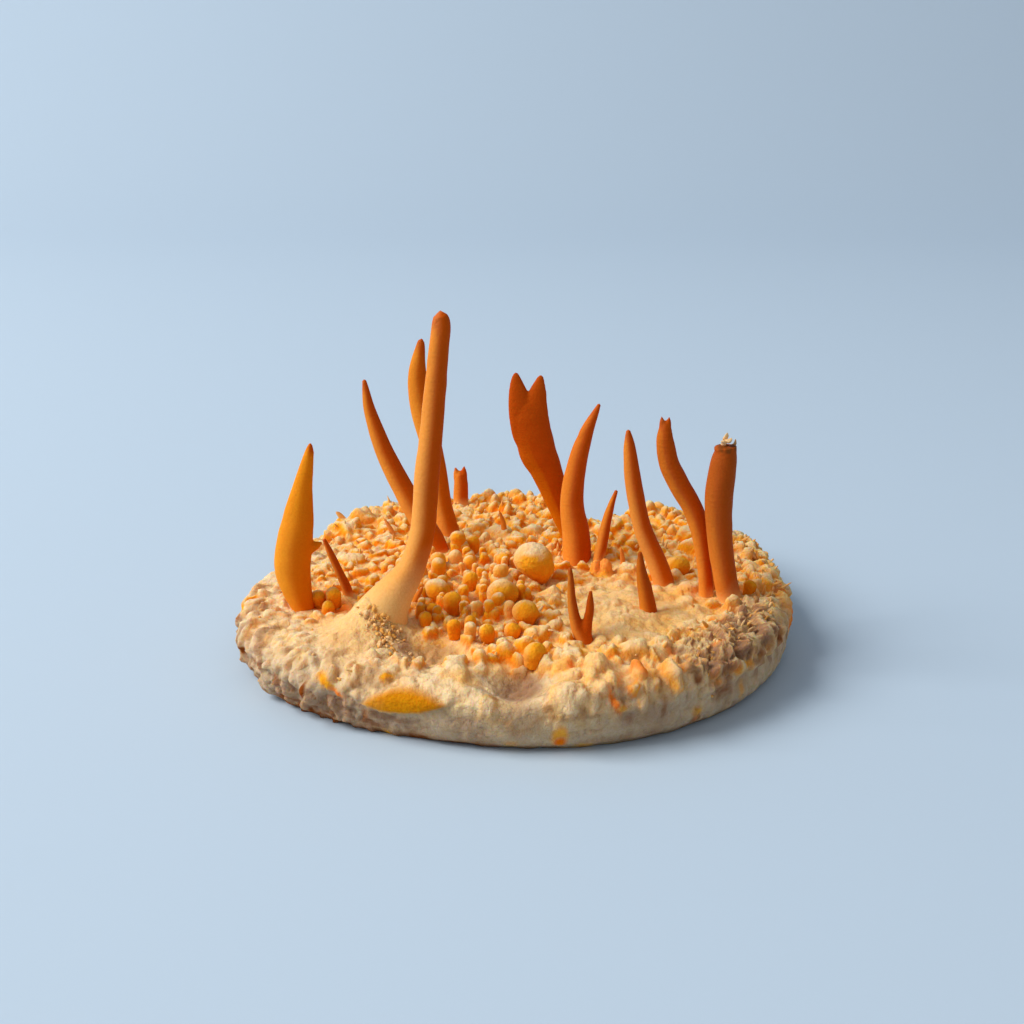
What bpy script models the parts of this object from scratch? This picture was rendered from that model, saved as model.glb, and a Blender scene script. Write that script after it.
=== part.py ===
"""Cordyceps bunch: a round cake of grain bound by mycelium, with clubs grown out of its lumpy top.

The origin is the centre of the flat underside, +Z is up and -Y is the front. The wall and top of the
cake are one skin: a grid folded into a disc and pushed up into lumps, with its edge run down to the
floor. Each club is a curve with its own thickness at each point, standing in a socket in the cake.
"""

import math

import bmesh
import bpy
import numpy as np
from mathutils import noise, Vector

MM = 0.001

# Cake: outline of the rim, where cos(waves * angle - turn) swells it, and the height of wall and top.
# SHOULDER is the share of the radius over which the top falls to the rim, and the roughness at the
# foot is a share of the wall's.
RIM_RADIUS = 43.3 * MM
RIM_WAVES = (
    # waves round the rim, size, turn in degrees
    (1, 0.8 * MM, -131),
    (2, 1.3 * MM, 141),
    (3, 0.5 * MM, -82),
    (4, 1.0 * MM, 141),
    (5, 0.6 * MM, -67),
)
RIM_HEIGHT = 6.8 * MM
TOP_HEIGHT = 8.6 * MM
SHOULDER = 0.15
UNDERCUT = 1.2 * MM
UNDERCUT_SWING = 0.8 * MM
UNDERCUT_SIDE = math.radians(-150)
WALL_BULGE = 0.4 * MM
WALL_ROUGHNESS = 1.3 * MM
WALL_ROUGHNESS_AT_FOOT = 0.5
WALL_GRAIN = 7 * MM
GRID_CELLS = 46
WALL_ROWS = 4

# Lumps of the top, packed without order at no less than LUMP_SPACING from each other
LUMP_SEED = 12
LUMP_SPACING = 5.0 * MM
LUMP_RADIUS = 3.3 * MM
LUMP_HEIGHTS = (1.6 * MM, 3.0 * MM)
LUMP_HEIGHT_AT_RIM = 0.3
LUMP_EDGE = 1.0 * MM
LUMP_TRIES = 6000

# Swells and hollows of the top: x, y, radius, height
SWELLS = (
    (2.6 * MM, -1.5 * MM, 4.0 * MM, 2.2 * MM),
    (-25.0 * MM, -22.0 * MM, 7.0 * MM, 1.3 * MM),
    (-0.7 * MM, -37.0 * MM, 4.5 * MM, -2.2 * MM),
    (-15.0 * MM, -29.0 * MM, 5.0 * MM, -1.6 * MM),
    (15.4 * MM, -20.4 * MM, 12.0 * MM, 0.5 * MM),
)

# Clubs: the gap round a foot, the height a socket's cut reaches, and in mm the depth of a foot and
# the way between two rings. A curve has four sides and two more for each step of its resolution.
SOCKET_GAP = 0.3 * MM
SOCKET_TOP = 14.0 * MM
FOOT_BOTTOM = 7.0
STEP = 3.2
SIDES_FINE = 3
SIDES_PLAIN = 2
WELD = 0.01 * MM

# Each club: foot x and y in mm, flatness front to back, then points in mm that give
# the way sideways and back from the foot, the height above the floor and the half width.
CLUBS = {
    "tall_club": ((-21.3, -21.8), 0.95, SIDES_FINE, (
        (0.0, 0.0, FOOT_BOTTOM, 5.0), (0.1, 0.0, 9.3, 4.4), (1.0, 0.0, 11.5, 3.4),
        (2.3, 0.1, 14.0, 2.45), (4.1, 0.1, 16.6, 1.85), (5.6, 0.2, 19.5, 1.6),
        (6.9, 0.2, 24.5, 1.6), (7.5, 0.4, 31.5, 1.65), (8.3, 0.6, 38.5, 1.55),
        (9.0, 0.8, 45.5, 1.4), (9.5, 0.9, 51.0, 1.2), (9.7, 1.0, 54.0, 1.0),
        (9.8, 1.0, 55.1, 0.45))),
    "horned_club": ((-33.1, -14.4), 0.75, SIDES_FINE, (
        (0.0, 0.0, FOOT_BOTTOM, 1.5), (0.0, 0.0, 9.3, 1.6), (-0.7, -0.2, 12.1, 2.1),
        (-1.1, -0.3, 15.4, 2.4), (-0.7, -0.5, 18.6, 2.4), (0.2, -0.8, 23.3, 2.05),
        (1.0, -1.1, 28.8, 1.3), (2.1, -1.4, 33.4, 0.65), (2.4, -1.5, 35.2, 0.2))),
    "sprig_club": ((-26.9, -10.0), 1.0, SIDES_PLAIN, (
        (0.0, 0.0, FOOT_BOTTOM + 1.0, 0.7), (0.0, 0.0, 10.4, 0.65), (-1.1, 0.0, 13.3, 0.5),
        (-2.2, 0.1, 16.0, 0.42), (-3.2, 0.2, 18.4, 0.2))),
    "leaning_club": ((-13.6, 9.0), 0.85, SIDES_PLAIN, (
        (0.0, 0.0, FOOT_BOTTOM, 1.7), (-0.2, 0.0, 9.4, 1.75), (-2.6, 0.4, 14.2, 1.8),
        (-5.8, 0.8, 20.1, 1.6), (-8.9, 1.2, 26.7, 1.35), (-11.0, 1.7, 33.2, 0.85),
        (-11.8, 2.0, 38.0, 0.25))),
    "leaf_club": ((-12.0, 16.5), 0.6, SIDES_PLAIN, (
        (0.0, 0.0, FOOT_BOTTOM, 1.7), (-0.2, 0.0, 9.4, 1.7), (-1.6, 0.4, 15.2, 1.6),
        (-2.7, 1.0, 22.9, 1.55), (-4.7, 1.7, 31.3, 1.75), (-5.4, 2.1, 37.1, 1.4),
        (-4.8, 2.5, 42.0, 0.6), (-4.6, 2.5, 43.0, 0.2))),
    "stump_club": ((-11.1, 35.7), 0.8, SIDES_PLAIN, (
        (0.0, 0.0, FOOT_BOTTOM, 1.25), (0.0, 0.0, 9.6, 1.25), (0.1, 0.0, 13.0, 1.15),
        (0.0, 0.0, 14.9, 0.95))),
    "forked_club": ((8.1, 11.4), 0.5, SIDES_FINE, (
        (0.0, 0.0, FOOT_BOTTOM, 1.2), (0.0, 0.0, 10.0, 1.15), (-1.8, -0.2, 16.0, 1.75),
        (-4.2, -0.4, 22.8, 2.45), (-5.7, -0.5, 26.2, 2.8), (-6.8, -0.7, 30.2, 2.95),
        (-7.5, -0.8, 34.2, 2.75), (-7.8, -0.9, 36.0, 1.7))),
    "centre_club": ((8.8, 5.1), 0.85, SIDES_PLAIN, (
        (0.0, 0.0, FOOT_BOTTOM, 2.1), (0.0, 0.0, 9.0, 2.15), (-0.3, 0.2, 13.9, 2.1),
        (-1.0, 0.4, 19.7, 1.75), (-0.3, 0.6, 25.5, 1.45), (1.2, 0.8, 30.9, 0.95),
        (3.1, 1.0, 35.3, 0.2))),
    "thin_club": ((12.1, 3.8), 1.0, SIDES_PLAIN, (
        (0.0, 0.0, FOOT_BOTTOM + 1.0, 0.8), (0.0, 0.0, 9.8, 0.82), (0.7, 0.0, 14.0, 0.75),
        (1.5, 0.0, 18.0, 0.55), (2.6, 0.0, 21.8, 0.2))),
    "right_club": ((21.9, -4.8), 0.9, SIDES_PLAIN, (
        (0.0, 0.0, FOOT_BOTTOM, 1.5), (0.0, 0.0, 9.3, 1.5), (-1.4, 0.2, 13.2, 1.45),
        (-3.7, 0.6, 18.8, 1.25), (-5.2, 1.0, 25.9, 1.15), (-5.8, 1.4, 30.9, 0.8),
        (-6.1, 1.5, 33.6, 0.25))),
    "curved_club": ((27.7, -9.9), 0.85, SIDES_PLAIN, (
        (0.0, 0.0, FOOT_BOTTOM, 1.1), (0.1, 0.0, 9.4, 1.05), (-0.2, 0.1, 12.9, 0.95),
        (-0.6, 0.3, 16.2, 1.1), (-1.2, 0.4, 19.8, 1.35), (-2.5, 0.5, 23.4, 1.42),
        (-4.6, 0.6, 27.0, 1.48), (-6.2, 0.7, 30.3, 1.42), (-6.8, 0.8, 33.2, 1.25),
        (-6.9, 0.9, 35.2, 0.9), (-6.9, 0.9, 36.1, 0.55))),
    "broken_club": ((31.1, -11.8), 0.95, SIDES_PLAIN, (
        (0.0, 0.0, FOOT_BOTTOM, 1.85), (0.0, 0.0, 9.4, 1.9), (-0.9, -0.2, 13.5, 1.8),
        (-1.9, -0.4, 19.1, 1.65), (-2.4, -0.6, 25.5, 1.7), (-2.1, -0.8, 30.9, 1.5),
        (-1.4, -1.0, 34.3, 1.1), (-1.2, -1.0, 35.4, 0.7))),
    "cone_club": ((18.4, -18.0), 1.0, SIDES_PLAIN, (
        (0.0, 0.0, FOOT_BOTTOM + 0.5, 1.2), (0.0, 0.0, 9.5, 1.2), (-0.7, 0.0, 13.5, 0.95),
        (-1.4, 0.0, 16.9, 0.6), (-1.6, 0.0, 19.3, 0.2))),
    "twin_club": ((8.4, -27.7), 1.0, SIDES_PLAIN, (
        (0.0, 0.0, FOOT_BOTTOM + 0.5, 1.25), (0.0, 0.0, 9.6, 1.2), (-1.1, 0.1, 11.9, 0.8),
        (-1.8, 0.3, 15.6, 0.55), (-2.1, 0.5, 20.3, 0.25))),
}

# Points and spurs that branch off a club, with the same columns
BRANCHES = {
    "horned_club": (
        ((0.6, -0.4, 18.6, 1.1), (2.0, -0.4, 19.1, 0.7), (3.3, -0.4, 19.7, 0.2)),
    ),
    "stump_club": (
        ((-0.45, 0.0, 13.4, 0.6), (-0.65, 0.0, 14.9, 0.5), (-0.9, 0.0, 16.2, 0.15)),
        ((0.5, 0.0, 13.2, 0.62), (0.6, 0.0, 14.9, 0.52), (0.7, 0.0, 16.4, 0.15)),
    ),
    "forked_club": (
        ((-8.6, -0.9, 32.0, 1.1), (-8.9, -1.0, 34.8, 1.3), (-9.2, -1.0, 37.4, 0.8),
         (-9.2, -1.0, 39.2, 0.2)),
        ((-6.2, -0.7, 32.0, 1.1), (-5.9, -0.9, 34.8, 1.25), (-5.6, -1.0, 37.0, 0.8),
         (-5.3, -1.0, 38.7, 0.25)),
    ),
    "curved_club": (
        ((-7.1, 0.9, 34.6, 0.5), (-7.3, 0.9, 36.2, 0.4), (-7.5, 0.9, 37.4, 0.12)),
        ((-6.7, 0.9, 34.4, 0.5), (-6.5, 0.9, 36.2, 0.38), (-6.3, 0.9, 37.3, 0.12)),
    ),
    "twin_club": (
        ((0.1, 0.0, 8.8, 0.85), (0.4, -0.1, 12.1, 0.58), (0.7, -0.3, 14.7, 0.5),
         (0.8, -0.5, 17.3, 0.2)),
    ),
}


def fresh_collection(name):
    """A new collection, linked to the scene."""
    collection = bpy.data.collections.new(name)
    bpy.context.scene.collection.children.link(collection)
    return collection


def finish(name, color, roughness, subsurface):
    """A Principled material for one sub-part."""
    material = bpy.data.materials.new(name)
    material.use_nodes = True
    shader = material.node_tree.nodes["Principled BSDF"]
    shader.inputs["Base Color"].default_value = (*color, 1.0)
    shader.inputs["Roughness"].default_value = roughness
    shader.inputs["Metallic"].default_value = 0.0
    shader.inputs["Subsurface Weight"].default_value = subsurface
    material.diffuse_color = (*color, 1.0)
    return material


def rim_radius(angle):
    """Radius of the rim at an angle round the cake."""
    return RIM_RADIUS + sum(size * math.cos(waves * angle - math.radians(turn))
                            for waves, size, turn in RIM_WAVES)


def foot_radius(angle):
    """Radius of the flat underside, tucked in most at the front left."""
    undercut = UNDERCUT + UNDERCUT_SWING * math.cos(angle - UNDERCUT_SIDE)
    return rim_radius(angle) - undercut


def pack_lumps():
    """Scatter lump centres over the top by throwing darts that keep their spacing."""
    random = np.random.default_rng(LUMP_SEED)
    centres = np.empty((0, 2))
    heights = []
    reach = RIM_RADIUS + sum(size for _, size, _ in RIM_WAVES)
    for _ in range(LUMP_TRIES):
        dart = random.uniform(-reach, reach, 2)
        height = random.uniform(*LUMP_HEIGHTS)
        inside = np.hypot(*dart) < rim_radius(math.atan2(dart[1], dart[0])) - LUMP_EDGE
        clear = len(centres) == 0 or np.hypot(*(centres - dart).T).min() > LUMP_SPACING
        if inside and clear:
            centres = np.vstack((centres, dart))
            heights.append(height)
    return centres, np.array(heights)


def top_height(x, y, edge, lumps):
    """Height of the top: a plateau that falls at its shoulder, plus the tallest lump and the swells.

    edge runs from 0 at the centre to 1 at the rim.
    """
    centres, heights = lumps
    fall = max(0.0, (edge - 1 + SHOULDER) / SHOULDER)
    height = TOP_HEIGHT - (TOP_HEIGHT - RIM_HEIGHT) * fall ** 2
    away = np.hypot(centres[:, 0] - x, centres[:, 1] - y) / LUMP_RADIUS
    domes = heights * np.sqrt(np.clip(1 - away ** 2, 0, 1))
    height += domes.max() * (1 - (1 - LUMP_HEIGHT_AT_RIM) * fall)
    for swell_x, swell_y, radius, rise in SWELLS:
        near = math.hypot(x - swell_x, y - swell_y) / radius
        height += rise * math.exp(-near ** 2)
    return height


def disc_point(a, b):
    """Fold a square grid point (a, b) into the unit disc, keeping areas equal."""
    if abs(a) > abs(b):
        radius, angle = a, math.pi / 4 * b / a
    elif b != 0:
        radius, angle = b, math.pi / 2 - math.pi / 4 * a / b
    else:
        radius, angle = 0.0, 0.0
    return radius * math.cos(angle), radius * math.sin(angle)


def build_cake(collection, material):
    """The cake: lumpy top from a folded grid, wall rows run down from its edge, flat underside."""
    lumps = pack_lumps()
    bm = bmesh.new()
    bmesh.ops.create_grid(bm, x_segments=GRID_CELLS, y_segments=GRID_CELLS, size=1.0)
    for vert in bm.verts:
        x, y = disc_point(vert.co.x, vert.co.y)
        edge = math.hypot(x, y)
        reach = rim_radius(math.atan2(y, x))
        vert.co = (x * reach, y * reach, top_height(x * reach, y * reach, edge, lumps))

    border = [edge for edge in bm.edges if edge.is_boundary]
    for row in range(1, WALL_ROWS + 1):
        left = (WALL_ROWS - row) / (WALL_ROWS + 1 - row)
        share = row / WALL_ROWS
        made = bmesh.ops.extrude_edge_only(bm, edges=border)["geom"]
        for vert in (item for item in made if isinstance(item, bmesh.types.BMVert)):
            angle = math.atan2(vert.co.y, vert.co.x)
            radius = rim_radius(angle) * (1 - share) + foot_radius(angle) * share
            radius += WALL_BULGE * math.sin(math.pi * share)
            place = Vector((radius * math.cos(angle), radius * math.sin(angle), vert.co.z * left))
            rough = WALL_ROUGHNESS * noise.noise(place / WALL_GRAIN)
            rough *= 1 - (1 - WALL_ROUGHNESS_AT_FOOT) * share
            vert.co = place + rough * Vector((math.cos(angle), math.sin(angle), 0.0))
        border = [item for item in made
                  if isinstance(item, bmesh.types.BMEdge) and item.is_boundary]
    bmesh.ops.edgeloop_fill(bm, edges=border)
    bmesh.ops.recalc_face_normals(bm, faces=bm.faces)
    bmesh.ops.triangulate(bm, faces=bm.faces, quad_method="SHORT_EDGE")

    mesh = bpy.data.meshes.new("substrate_cake")
    bm.to_mesh(mesh)
    bm.free()
    mesh.materials.append(material)
    cake = bpy.data.objects.new("substrate_cake", mesh)
    collection.objects.link(cake)
    return cake


def smooth_path(points):
    """Catmull-Rom curve through the points, each x, y, z and half width in mm."""
    knots = [Vector(point) for point in points]
    knots = [knots[0] * 2 - knots[1], *knots, knots[-1] * 2 - knots[-2]]
    path = []
    for before, start, end, after in zip(knots, knots[1:], knots[2:], knots[3:]):
        pieces = max(1, round((end - start).length / STEP))
        for piece in range(pieces):
            t = piece / pieces
            path.append(0.5 * (2 * start + (end - before) * t
                               + (2 * before - 5 * start + 4 * end - after) * t ** 2
                               + (3 * start - before - 3 * end + after) * t ** 3))
    path.append(knots[-2])
    return path


def tube(name, path, foot, flat, sides, collection, grow=0.0):
    """A mesh made from a curve with a half width at each point, narrowed front to back by flat.

    grow is added all round, as much in the narrowed direction as in the other.
    """
    curve = bpy.data.curves.new(name, "CURVE")
    curve.dimensions = "3D"
    curve.bevel_depth = MM
    curve.bevel_resolution = sides
    curve.use_fill_caps = True
    spline = curve.splines.new("POLY")
    spline.points.add(len(path) - 1)
    for point, (x, y, z, half_width) in zip(spline.points, path):
        point.co = (x * MM, y * MM / flat, z * MM, 1.0)
        point.radius = half_width + grow / MM / flat
    guide = bpy.data.objects.new(name + "_guide", curve)
    guide.location = (foot[0] * MM, foot[1] * MM, 0.0)
    guide.scale = (1.0, flat, 1.0)
    collection.objects.link(guide)
    bpy.context.view_layer.update()

    mesh = bpy.data.meshes.new_from_object(guide.evaluated_get(bpy.context.evaluated_depsgraph_get()))
    mesh.name = name
    bm = bmesh.new()
    bm.from_mesh(mesh)
    bmesh.ops.remove_doubles(bm, verts=bm.verts, dist=WELD)
    bmesh.ops.recalc_face_normals(bm, faces=bm.faces)
    bm.to_mesh(mesh)
    bm.free()
    piece = bpy.data.objects.new(name, mesh)
    piece.matrix_world = guide.matrix_world
    collection.objects.link(piece)
    bpy.data.objects.remove(guide)
    bpy.data.curves.remove(curve)
    return piece


def combine(target, operation, tool):
    """Join a tool to the target, or cut the target with it."""
    tool.hide_render = True
    tool.display_type = "WIRE"
    boolean = target.modifiers.new(tool.name, "BOOLEAN")
    boolean.operation = operation
    boolean.solver = "EXACT"
    boolean.object = tool


def build_club(name, cake, parts, tools, material):
    """A club with its branches joined on, and its socket cut in the cake."""
    foot, flat, sides, points = CLUBS[name]
    path = smooth_path(points)
    club = tube(name, path, foot, flat, sides, parts)
    club.data.materials.append(material)
    club.data.shade_smooth()
    for number, branch in enumerate(BRANCHES.get(name, ()), 1):
        point = tube(f"{name}_point_{number}", smooth_path(branch), foot, flat, SIDES_PLAIN, tools)
        combine(club, "UNION", point)

    above = next(index for index, place in enumerate(path) if place.z * MM >= SOCKET_TOP)
    buried = [place.copy() for place in path[:above + 1]]
    buried[0].z -= SOCKET_GAP / MM
    socket = tube(f"{name}_socket", buried, foot, flat, sides, tools, grow=SOCKET_GAP)
    combine(cake, "DIFFERENCE", socket)


def main():
    for thing in list(bpy.data.objects):
        bpy.data.objects.remove(thing, do_unlink=True)
    parts = fresh_collection("cordyceps_bunch")
    tools = fresh_collection("cutters")

    mycelium = finish("mycelium_and_grain", (0.80, 0.50, 0.22), 0.80, 0.15)
    orange_flesh = finish("orange_club_flesh", (0.76, 0.24, 0.035), 0.60, 0.15)
    cake = build_cake(parts, mycelium)
    for name in CLUBS:
        build_club(name, cake, parts, tools, orange_flesh)


main()
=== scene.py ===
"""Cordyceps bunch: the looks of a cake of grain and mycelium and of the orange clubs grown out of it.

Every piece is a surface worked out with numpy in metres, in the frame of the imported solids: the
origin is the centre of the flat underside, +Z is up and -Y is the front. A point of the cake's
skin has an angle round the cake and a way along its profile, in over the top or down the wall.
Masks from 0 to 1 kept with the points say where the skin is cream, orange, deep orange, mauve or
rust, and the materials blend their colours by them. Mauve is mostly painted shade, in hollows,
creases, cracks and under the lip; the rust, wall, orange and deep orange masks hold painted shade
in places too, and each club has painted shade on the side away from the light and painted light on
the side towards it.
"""

import math

import bpy
import numpy as np
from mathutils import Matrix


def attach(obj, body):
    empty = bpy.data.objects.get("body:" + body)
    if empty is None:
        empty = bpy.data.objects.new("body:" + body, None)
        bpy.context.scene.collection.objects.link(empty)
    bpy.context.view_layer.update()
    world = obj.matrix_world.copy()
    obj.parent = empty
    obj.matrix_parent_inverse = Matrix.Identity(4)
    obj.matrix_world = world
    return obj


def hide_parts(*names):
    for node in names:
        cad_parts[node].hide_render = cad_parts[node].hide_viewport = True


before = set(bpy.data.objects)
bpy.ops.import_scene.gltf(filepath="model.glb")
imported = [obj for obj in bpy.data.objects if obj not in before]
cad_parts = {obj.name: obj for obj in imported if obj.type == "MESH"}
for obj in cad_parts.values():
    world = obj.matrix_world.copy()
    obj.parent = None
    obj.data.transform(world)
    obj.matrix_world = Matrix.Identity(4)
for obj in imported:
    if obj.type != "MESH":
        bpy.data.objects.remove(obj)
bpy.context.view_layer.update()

bl_info = {
    "name": "Cordyceps Bunch",
    "version": (1, 0, 0),
    "blender": (4, 5, 0),
    "location": "View3D > Sidebar > Cordyceps",
    "description": "Makes the skin, nubs, bulbs, tufts, crumbs and clubs of a cordyceps bunch",
    "category": "Add Mesh",
}

MM = 0.001
BODY = "root"
CAKE_SLOT = "mycelium_grain"
CLUB_SLOT = "club_flesh"

# Cake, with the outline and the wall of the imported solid. RIM_WAVES gives the number of waves round
# the rim, their size and their turn in degrees.
RIM_RADIUS = 43.3 * MM
RIM_WAVES = ((1, 0.8 * MM, -131), (2, 1.3 * MM, 141), (3, 0.5 * MM, -82), (4, 1.0 * MM, 141),
             (5, 0.6 * MM, -67))
UNDERCUT = 1.2 * MM
UNDERCUT_SWING = 0.8 * MM
UNDERCUT_SIDE = math.radians(-150)
WALL_BULGE = 0.4 * MM
SHOULDER = 0.15
RIM_HEIGHT = 8.2 * MM
TOP_HEIGHT = 9.3 * MM
CORNER = 2.2 * MM
CORNER_CUT = CORNER * (1 - math.sqrt(0.5))
CORNER_WAY = CORNER * math.pi / 4
TOP_CELLS = 262
CORNER_ROWS = 6
FOOT_ROUND = 1.3 * MM
FOOT_TUCK = 0.8 * MM
WALL_ROWS = 18

# Swells and hollows of the top, in mm: x, y, radius, height
SWELLS = (
    (-22.4, -23.2, 4.2, 2), (-24, -27, 5.5, 1.2), (-1.5, -38.5, 4.4, -3.2), (-13, -30, 4.5, -1.6),
    (15.4, -20.4, 12, 0.9), (-21.5, -22, 3.2, 2.6), (15.5, 41, 7, -5), (13.5, 33, 5, -3),
    (25.2, 3.5, 1.8, -0.9), (-34, 14, 9, -1),
)

# Clubs: foot x and y in mm, flatness front to back, then points in mm that give
# the way sideways and back from the foot, the height above the floor and the half width.
CLUBS = {
    "tall_club": ((-21.3, -21.8), 0.95, (
        (0, 0, 7, 5.2), (0.1, 0, 9.3, 4.7), (0.9, 0, 11.5, 3.8), (2.3, 0.1, 14, 2.85),
        (4.1, 0.1, 16.6, 2.15), (5.6, 0.2, 19.5, 1.75), (6.9, 0.2, 24.5, 1.65), (7.5, 0.4, 31.5, 1.65),
        (8.3, 0.6, 38.5, 1.5), (9, 0.8, 45.5, 1.38), (9.6, 0.9, 51, 1.25), (9.85, 1, 53.3, 1.18),
        (9.85, 1, 54.4, 0.95), (9.8, 1, 54.9, 0.5))),
    "horned_club": ((-33.1, -14.4), 0.75, (
        (0, 0, 7, 1.5), (0, 0, 9.3, 1.6), (-0.7, -0.2, 12.1, 2.1), (-1.2, -0.3, 15.4, 2.55),
        (-0.9, -0.5, 18.6, 2.6), (0, -0.8, 23.3, 2.2), (1, -1.1, 28.8, 1.3), (2.1, -1.4, 33.4, 0.65),
        (2.4, -1.5, 35.2, 0.2))),
    "sprig_club": ((-26.9, -10), 1, (
        (0, 0, 8, 0.7), (0, 0, 10.4, 0.65), (-1.1, 0, 13.3, 0.5), (-2.2, 0.1, 16, 0.42),
        (-3.2, 0.2, 18.4, 0.2))),
    "leaning_club": ((-13.6, 9), 0.85, (
        (0, 0, 7, 1.7), (-0.2, 0, 9.4, 1.75), (-2.6, 0.4, 14.2, 1.8), (-5.8, 0.8, 20.1, 1.6),
        (-8.9, 1.2, 26.7, 1.35), (-11, 1.7, 33.2, 0.85), (-11.8, 2, 38, 0.25))),
    "leaf_club": ((-12, 16.5), 0.6, (
        (0, 0, 7, 1.7), (-0.2, 0, 9.4, 1.7), (-1.6, 0.4, 15.2, 1.6), (-2.7, 1, 22.9, 1.55),
        (-4.7, 1.7, 31.3, 1.75), (-5.4, 2.1, 37.1, 1.4), (-4.8, 2.5, 42, 0.6), (-4.6, 2.5, 43, 0.2))),
    "stump_club": ((-11.1, 35.7), 0.8, (
        (0, 0, 7, 1.25), (0, 0, 9.6, 1.25), (0.1, 0, 13, 1.15), (0, 0, 14.9, 0.95))),
    "forked_club": ((8.1, 11.4), 0.5, (
        (0, 0, 7, 1.2), (0, 0, 10, 1.15), (-1.8, -0.2, 16, 1.75), (-4.2, -0.4, 22.8, 2.45),
        (-5.7, -0.5, 26.2, 2.9), (-6.7, -0.7, 30.2, 2.85), (-7.25, -0.8, 32.6, 2.6),
        (-7.4, -0.9, 34.4, 1.9))),
    "centre_club": ((8.8, 5.1), 0.85, (
        (0, 0, 7, 2.1), (0, 0, 9, 2.15), (-0.3, 0.2, 13.9, 2.1), (-1, 0.4, 19.7, 1.75),
        (-0.3, 0.6, 25.5, 1.45), (1.2, 0.8, 30.9, 0.95), (3.1, 1, 35.3, 0.2))),
    "thin_club": ((12.1, 3.8), 1, (
        (0, 0, 8, 0.8), (0, 0, 9.8, 0.82), (0.7, 0, 14, 0.75), (1.5, 0, 18, 0.55),
        (2.6, 0, 21.8, 0.2))),
    "right_club": ((21.9, -4.8), 0.9, (
        (0, 0, 7, 1.5), (0, 0, 9.3, 1.5), (-1.4, 0.2, 13.2, 1.45), (-3.7, 0.6, 18.8, 1.25),
        (-5.2, 1, 25.9, 1.15), (-5.8, 1.4, 30.9, 0.8), (-6.1, 1.5, 33.6, 0.25))),
    "curved_club": ((27.7, -9.9), 0.85, (
        (0, 0, 7, 1.1), (0.1, 0, 9.4, 1.05), (-0.2, 0.1, 12.9, 0.95), (-0.6, 0.3, 16.2, 1.1),
        (-1.2, 0.4, 19.8, 1.35), (-2.5, 0.5, 23.4, 1.42), (-4.6, 0.6, 27, 1.48),
        (-6.2, 0.7, 30.3, 1.42), (-6.8, 0.8, 33.2, 1.25), (-6.9, 0.9, 35.2, 0.9),
        (-6.9, 0.9, 36.1, 0.55))),
    "broken_club": ((31.1, -11.8), 0.95, (
        (0, 0, 7, 1.7), (0, 0, 9.4, 1.7), (-0.9, -0.2, 13.5, 1.65), (-1.9, -0.4, 19.1, 1.75),
        (-2.4, -0.6, 25.5, 1.95), (-2, -0.8, 30.9, 1.85), (-1.8, -1, 33, 1.5), (-1.85, -1, 33.8, 1.45),
        (-1.85, -1, 34, 0.4))),
    "cone_club": ((18.4, -18), 1, (
        (0, 0, 7.5, 1.2), (0, 0, 9.5, 1.2), (-0.7, 0, 13.5, 0.95), (-1.4, 0, 16.9, 0.6),
        (-1.6, 0, 19.3, 0.2))),
    "twin_club": ((8.4, -27.7), 1, (
        (0, 0, 7.5, 1.25), (0, 0, 9.6, 1.2), (-1.1, 0.1, 11.9, 0.8), (-1.8, 0.3, 15.6, 0.55),
        (-2.1, 0.5, 20.3, 0.25))),
}

# Points and spurs that branch off a club, with the same columns
BRANCHES = {
    "horned_club": (
        ((0.6, -0.4, 18.6, 1.1), (2, -0.4, 19.1, 0.7), (3.3, -0.4, 19.7, 0.2)),
    ),
    "stump_club": (
        ((-0.45, 0, 13.4, 0.6), (-0.65, 0, 14.9, 0.5), (-0.9, 0, 16.2, 0.15)),
        ((0.5, 0, 13.2, 0.62), (0.6, 0, 14.9, 0.52), (0.7, 0, 16.4, 0.15)),
    ),
    "forked_club": (
        ((-6.6, -0.6, 25.8, 1.5), (-7.8, -0.7, 28.8, 1.75), (-8.3, -0.8, 31.4, 1.85),
         (-8.6, -0.9, 34, 1.8), (-8.95, -1, 36.2, 1.4), (-9.2, -1, 38, 0.85), (-9.3, -1, 39.3, 0.35)),
        ((-4.5, -0.6, 26, 1.2), (-5.1, -0.7, 28.8, 1.55), (-5.7, -0.8, 31.4, 1.75),
         (-6.1, -0.9, 34, 1.8), (-5.8, -1, 36.2, 1.35), (-5.5, -1, 37.8, 0.8), (-5.3, -1, 38.9, 0.35)),
    ),
    "curved_club": (
        ((-7.1, 0.9, 34.6, 0.5), (-7.3, 0.9, 36.2, 0.4), (-7.5, 0.9, 37.4, 0.12)),
        ((-6.7, 0.9, 34.4, 0.5), (-6.5, 0.9, 36.2, 0.38), (-6.3, 0.9, 37.3, 0.12)),
    ),
    "twin_club": (
        ((0.1, 0, 8.8, 0.85), (0.4, -0.1, 12.1, 0.58), (0.7, -0.3, 14.7, 0.5), (0.8, -0.5, 17.3, 0.2)),
    ),
}

# Looks of the clubs: heights in mm where the pale foot starts to fade and where it ends, then how
# deep the colour is, how strong the painted light on the lit side is and how brown the tip is
CLUB_LOOKS = {
    "tall_club": (12, 23, 0.4, 0.5, 0), "horned_club": (8, 9, -0.35, 0.1, 0),
    "sprig_club": (8.5, 11, 0.4, 0.3, 0.2), "leaning_club": (8.5, 11, 0.35, 0.3, 0.1),
    "leaf_club": (8.5, 11, 0.1, 0.3, 0.1), "stump_club": (8.5, 11, 0.45, 0.35, 0),
    "forked_club": (8.5, 10, 1.2, 0, 0.15), "centre_club": (8, 9.4, 0.75, 0.2, 0),
    "thin_club": (8.5, 12, 0.35, 0.35, 0.1), "right_club": (8, 10, 0.45, 0.45, 0.1),
    "curved_club": (8.5, 11, 0.7, 0.2, 0.2), "broken_club": (8.5, 13.5, 0.95, 0.2, 0.45),
    "cone_club": (8, 8.5, 0.45, 0.2, 0.4), "twin_club": (8.5, 10, 0.4, 0.3, 0.4),
}
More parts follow.
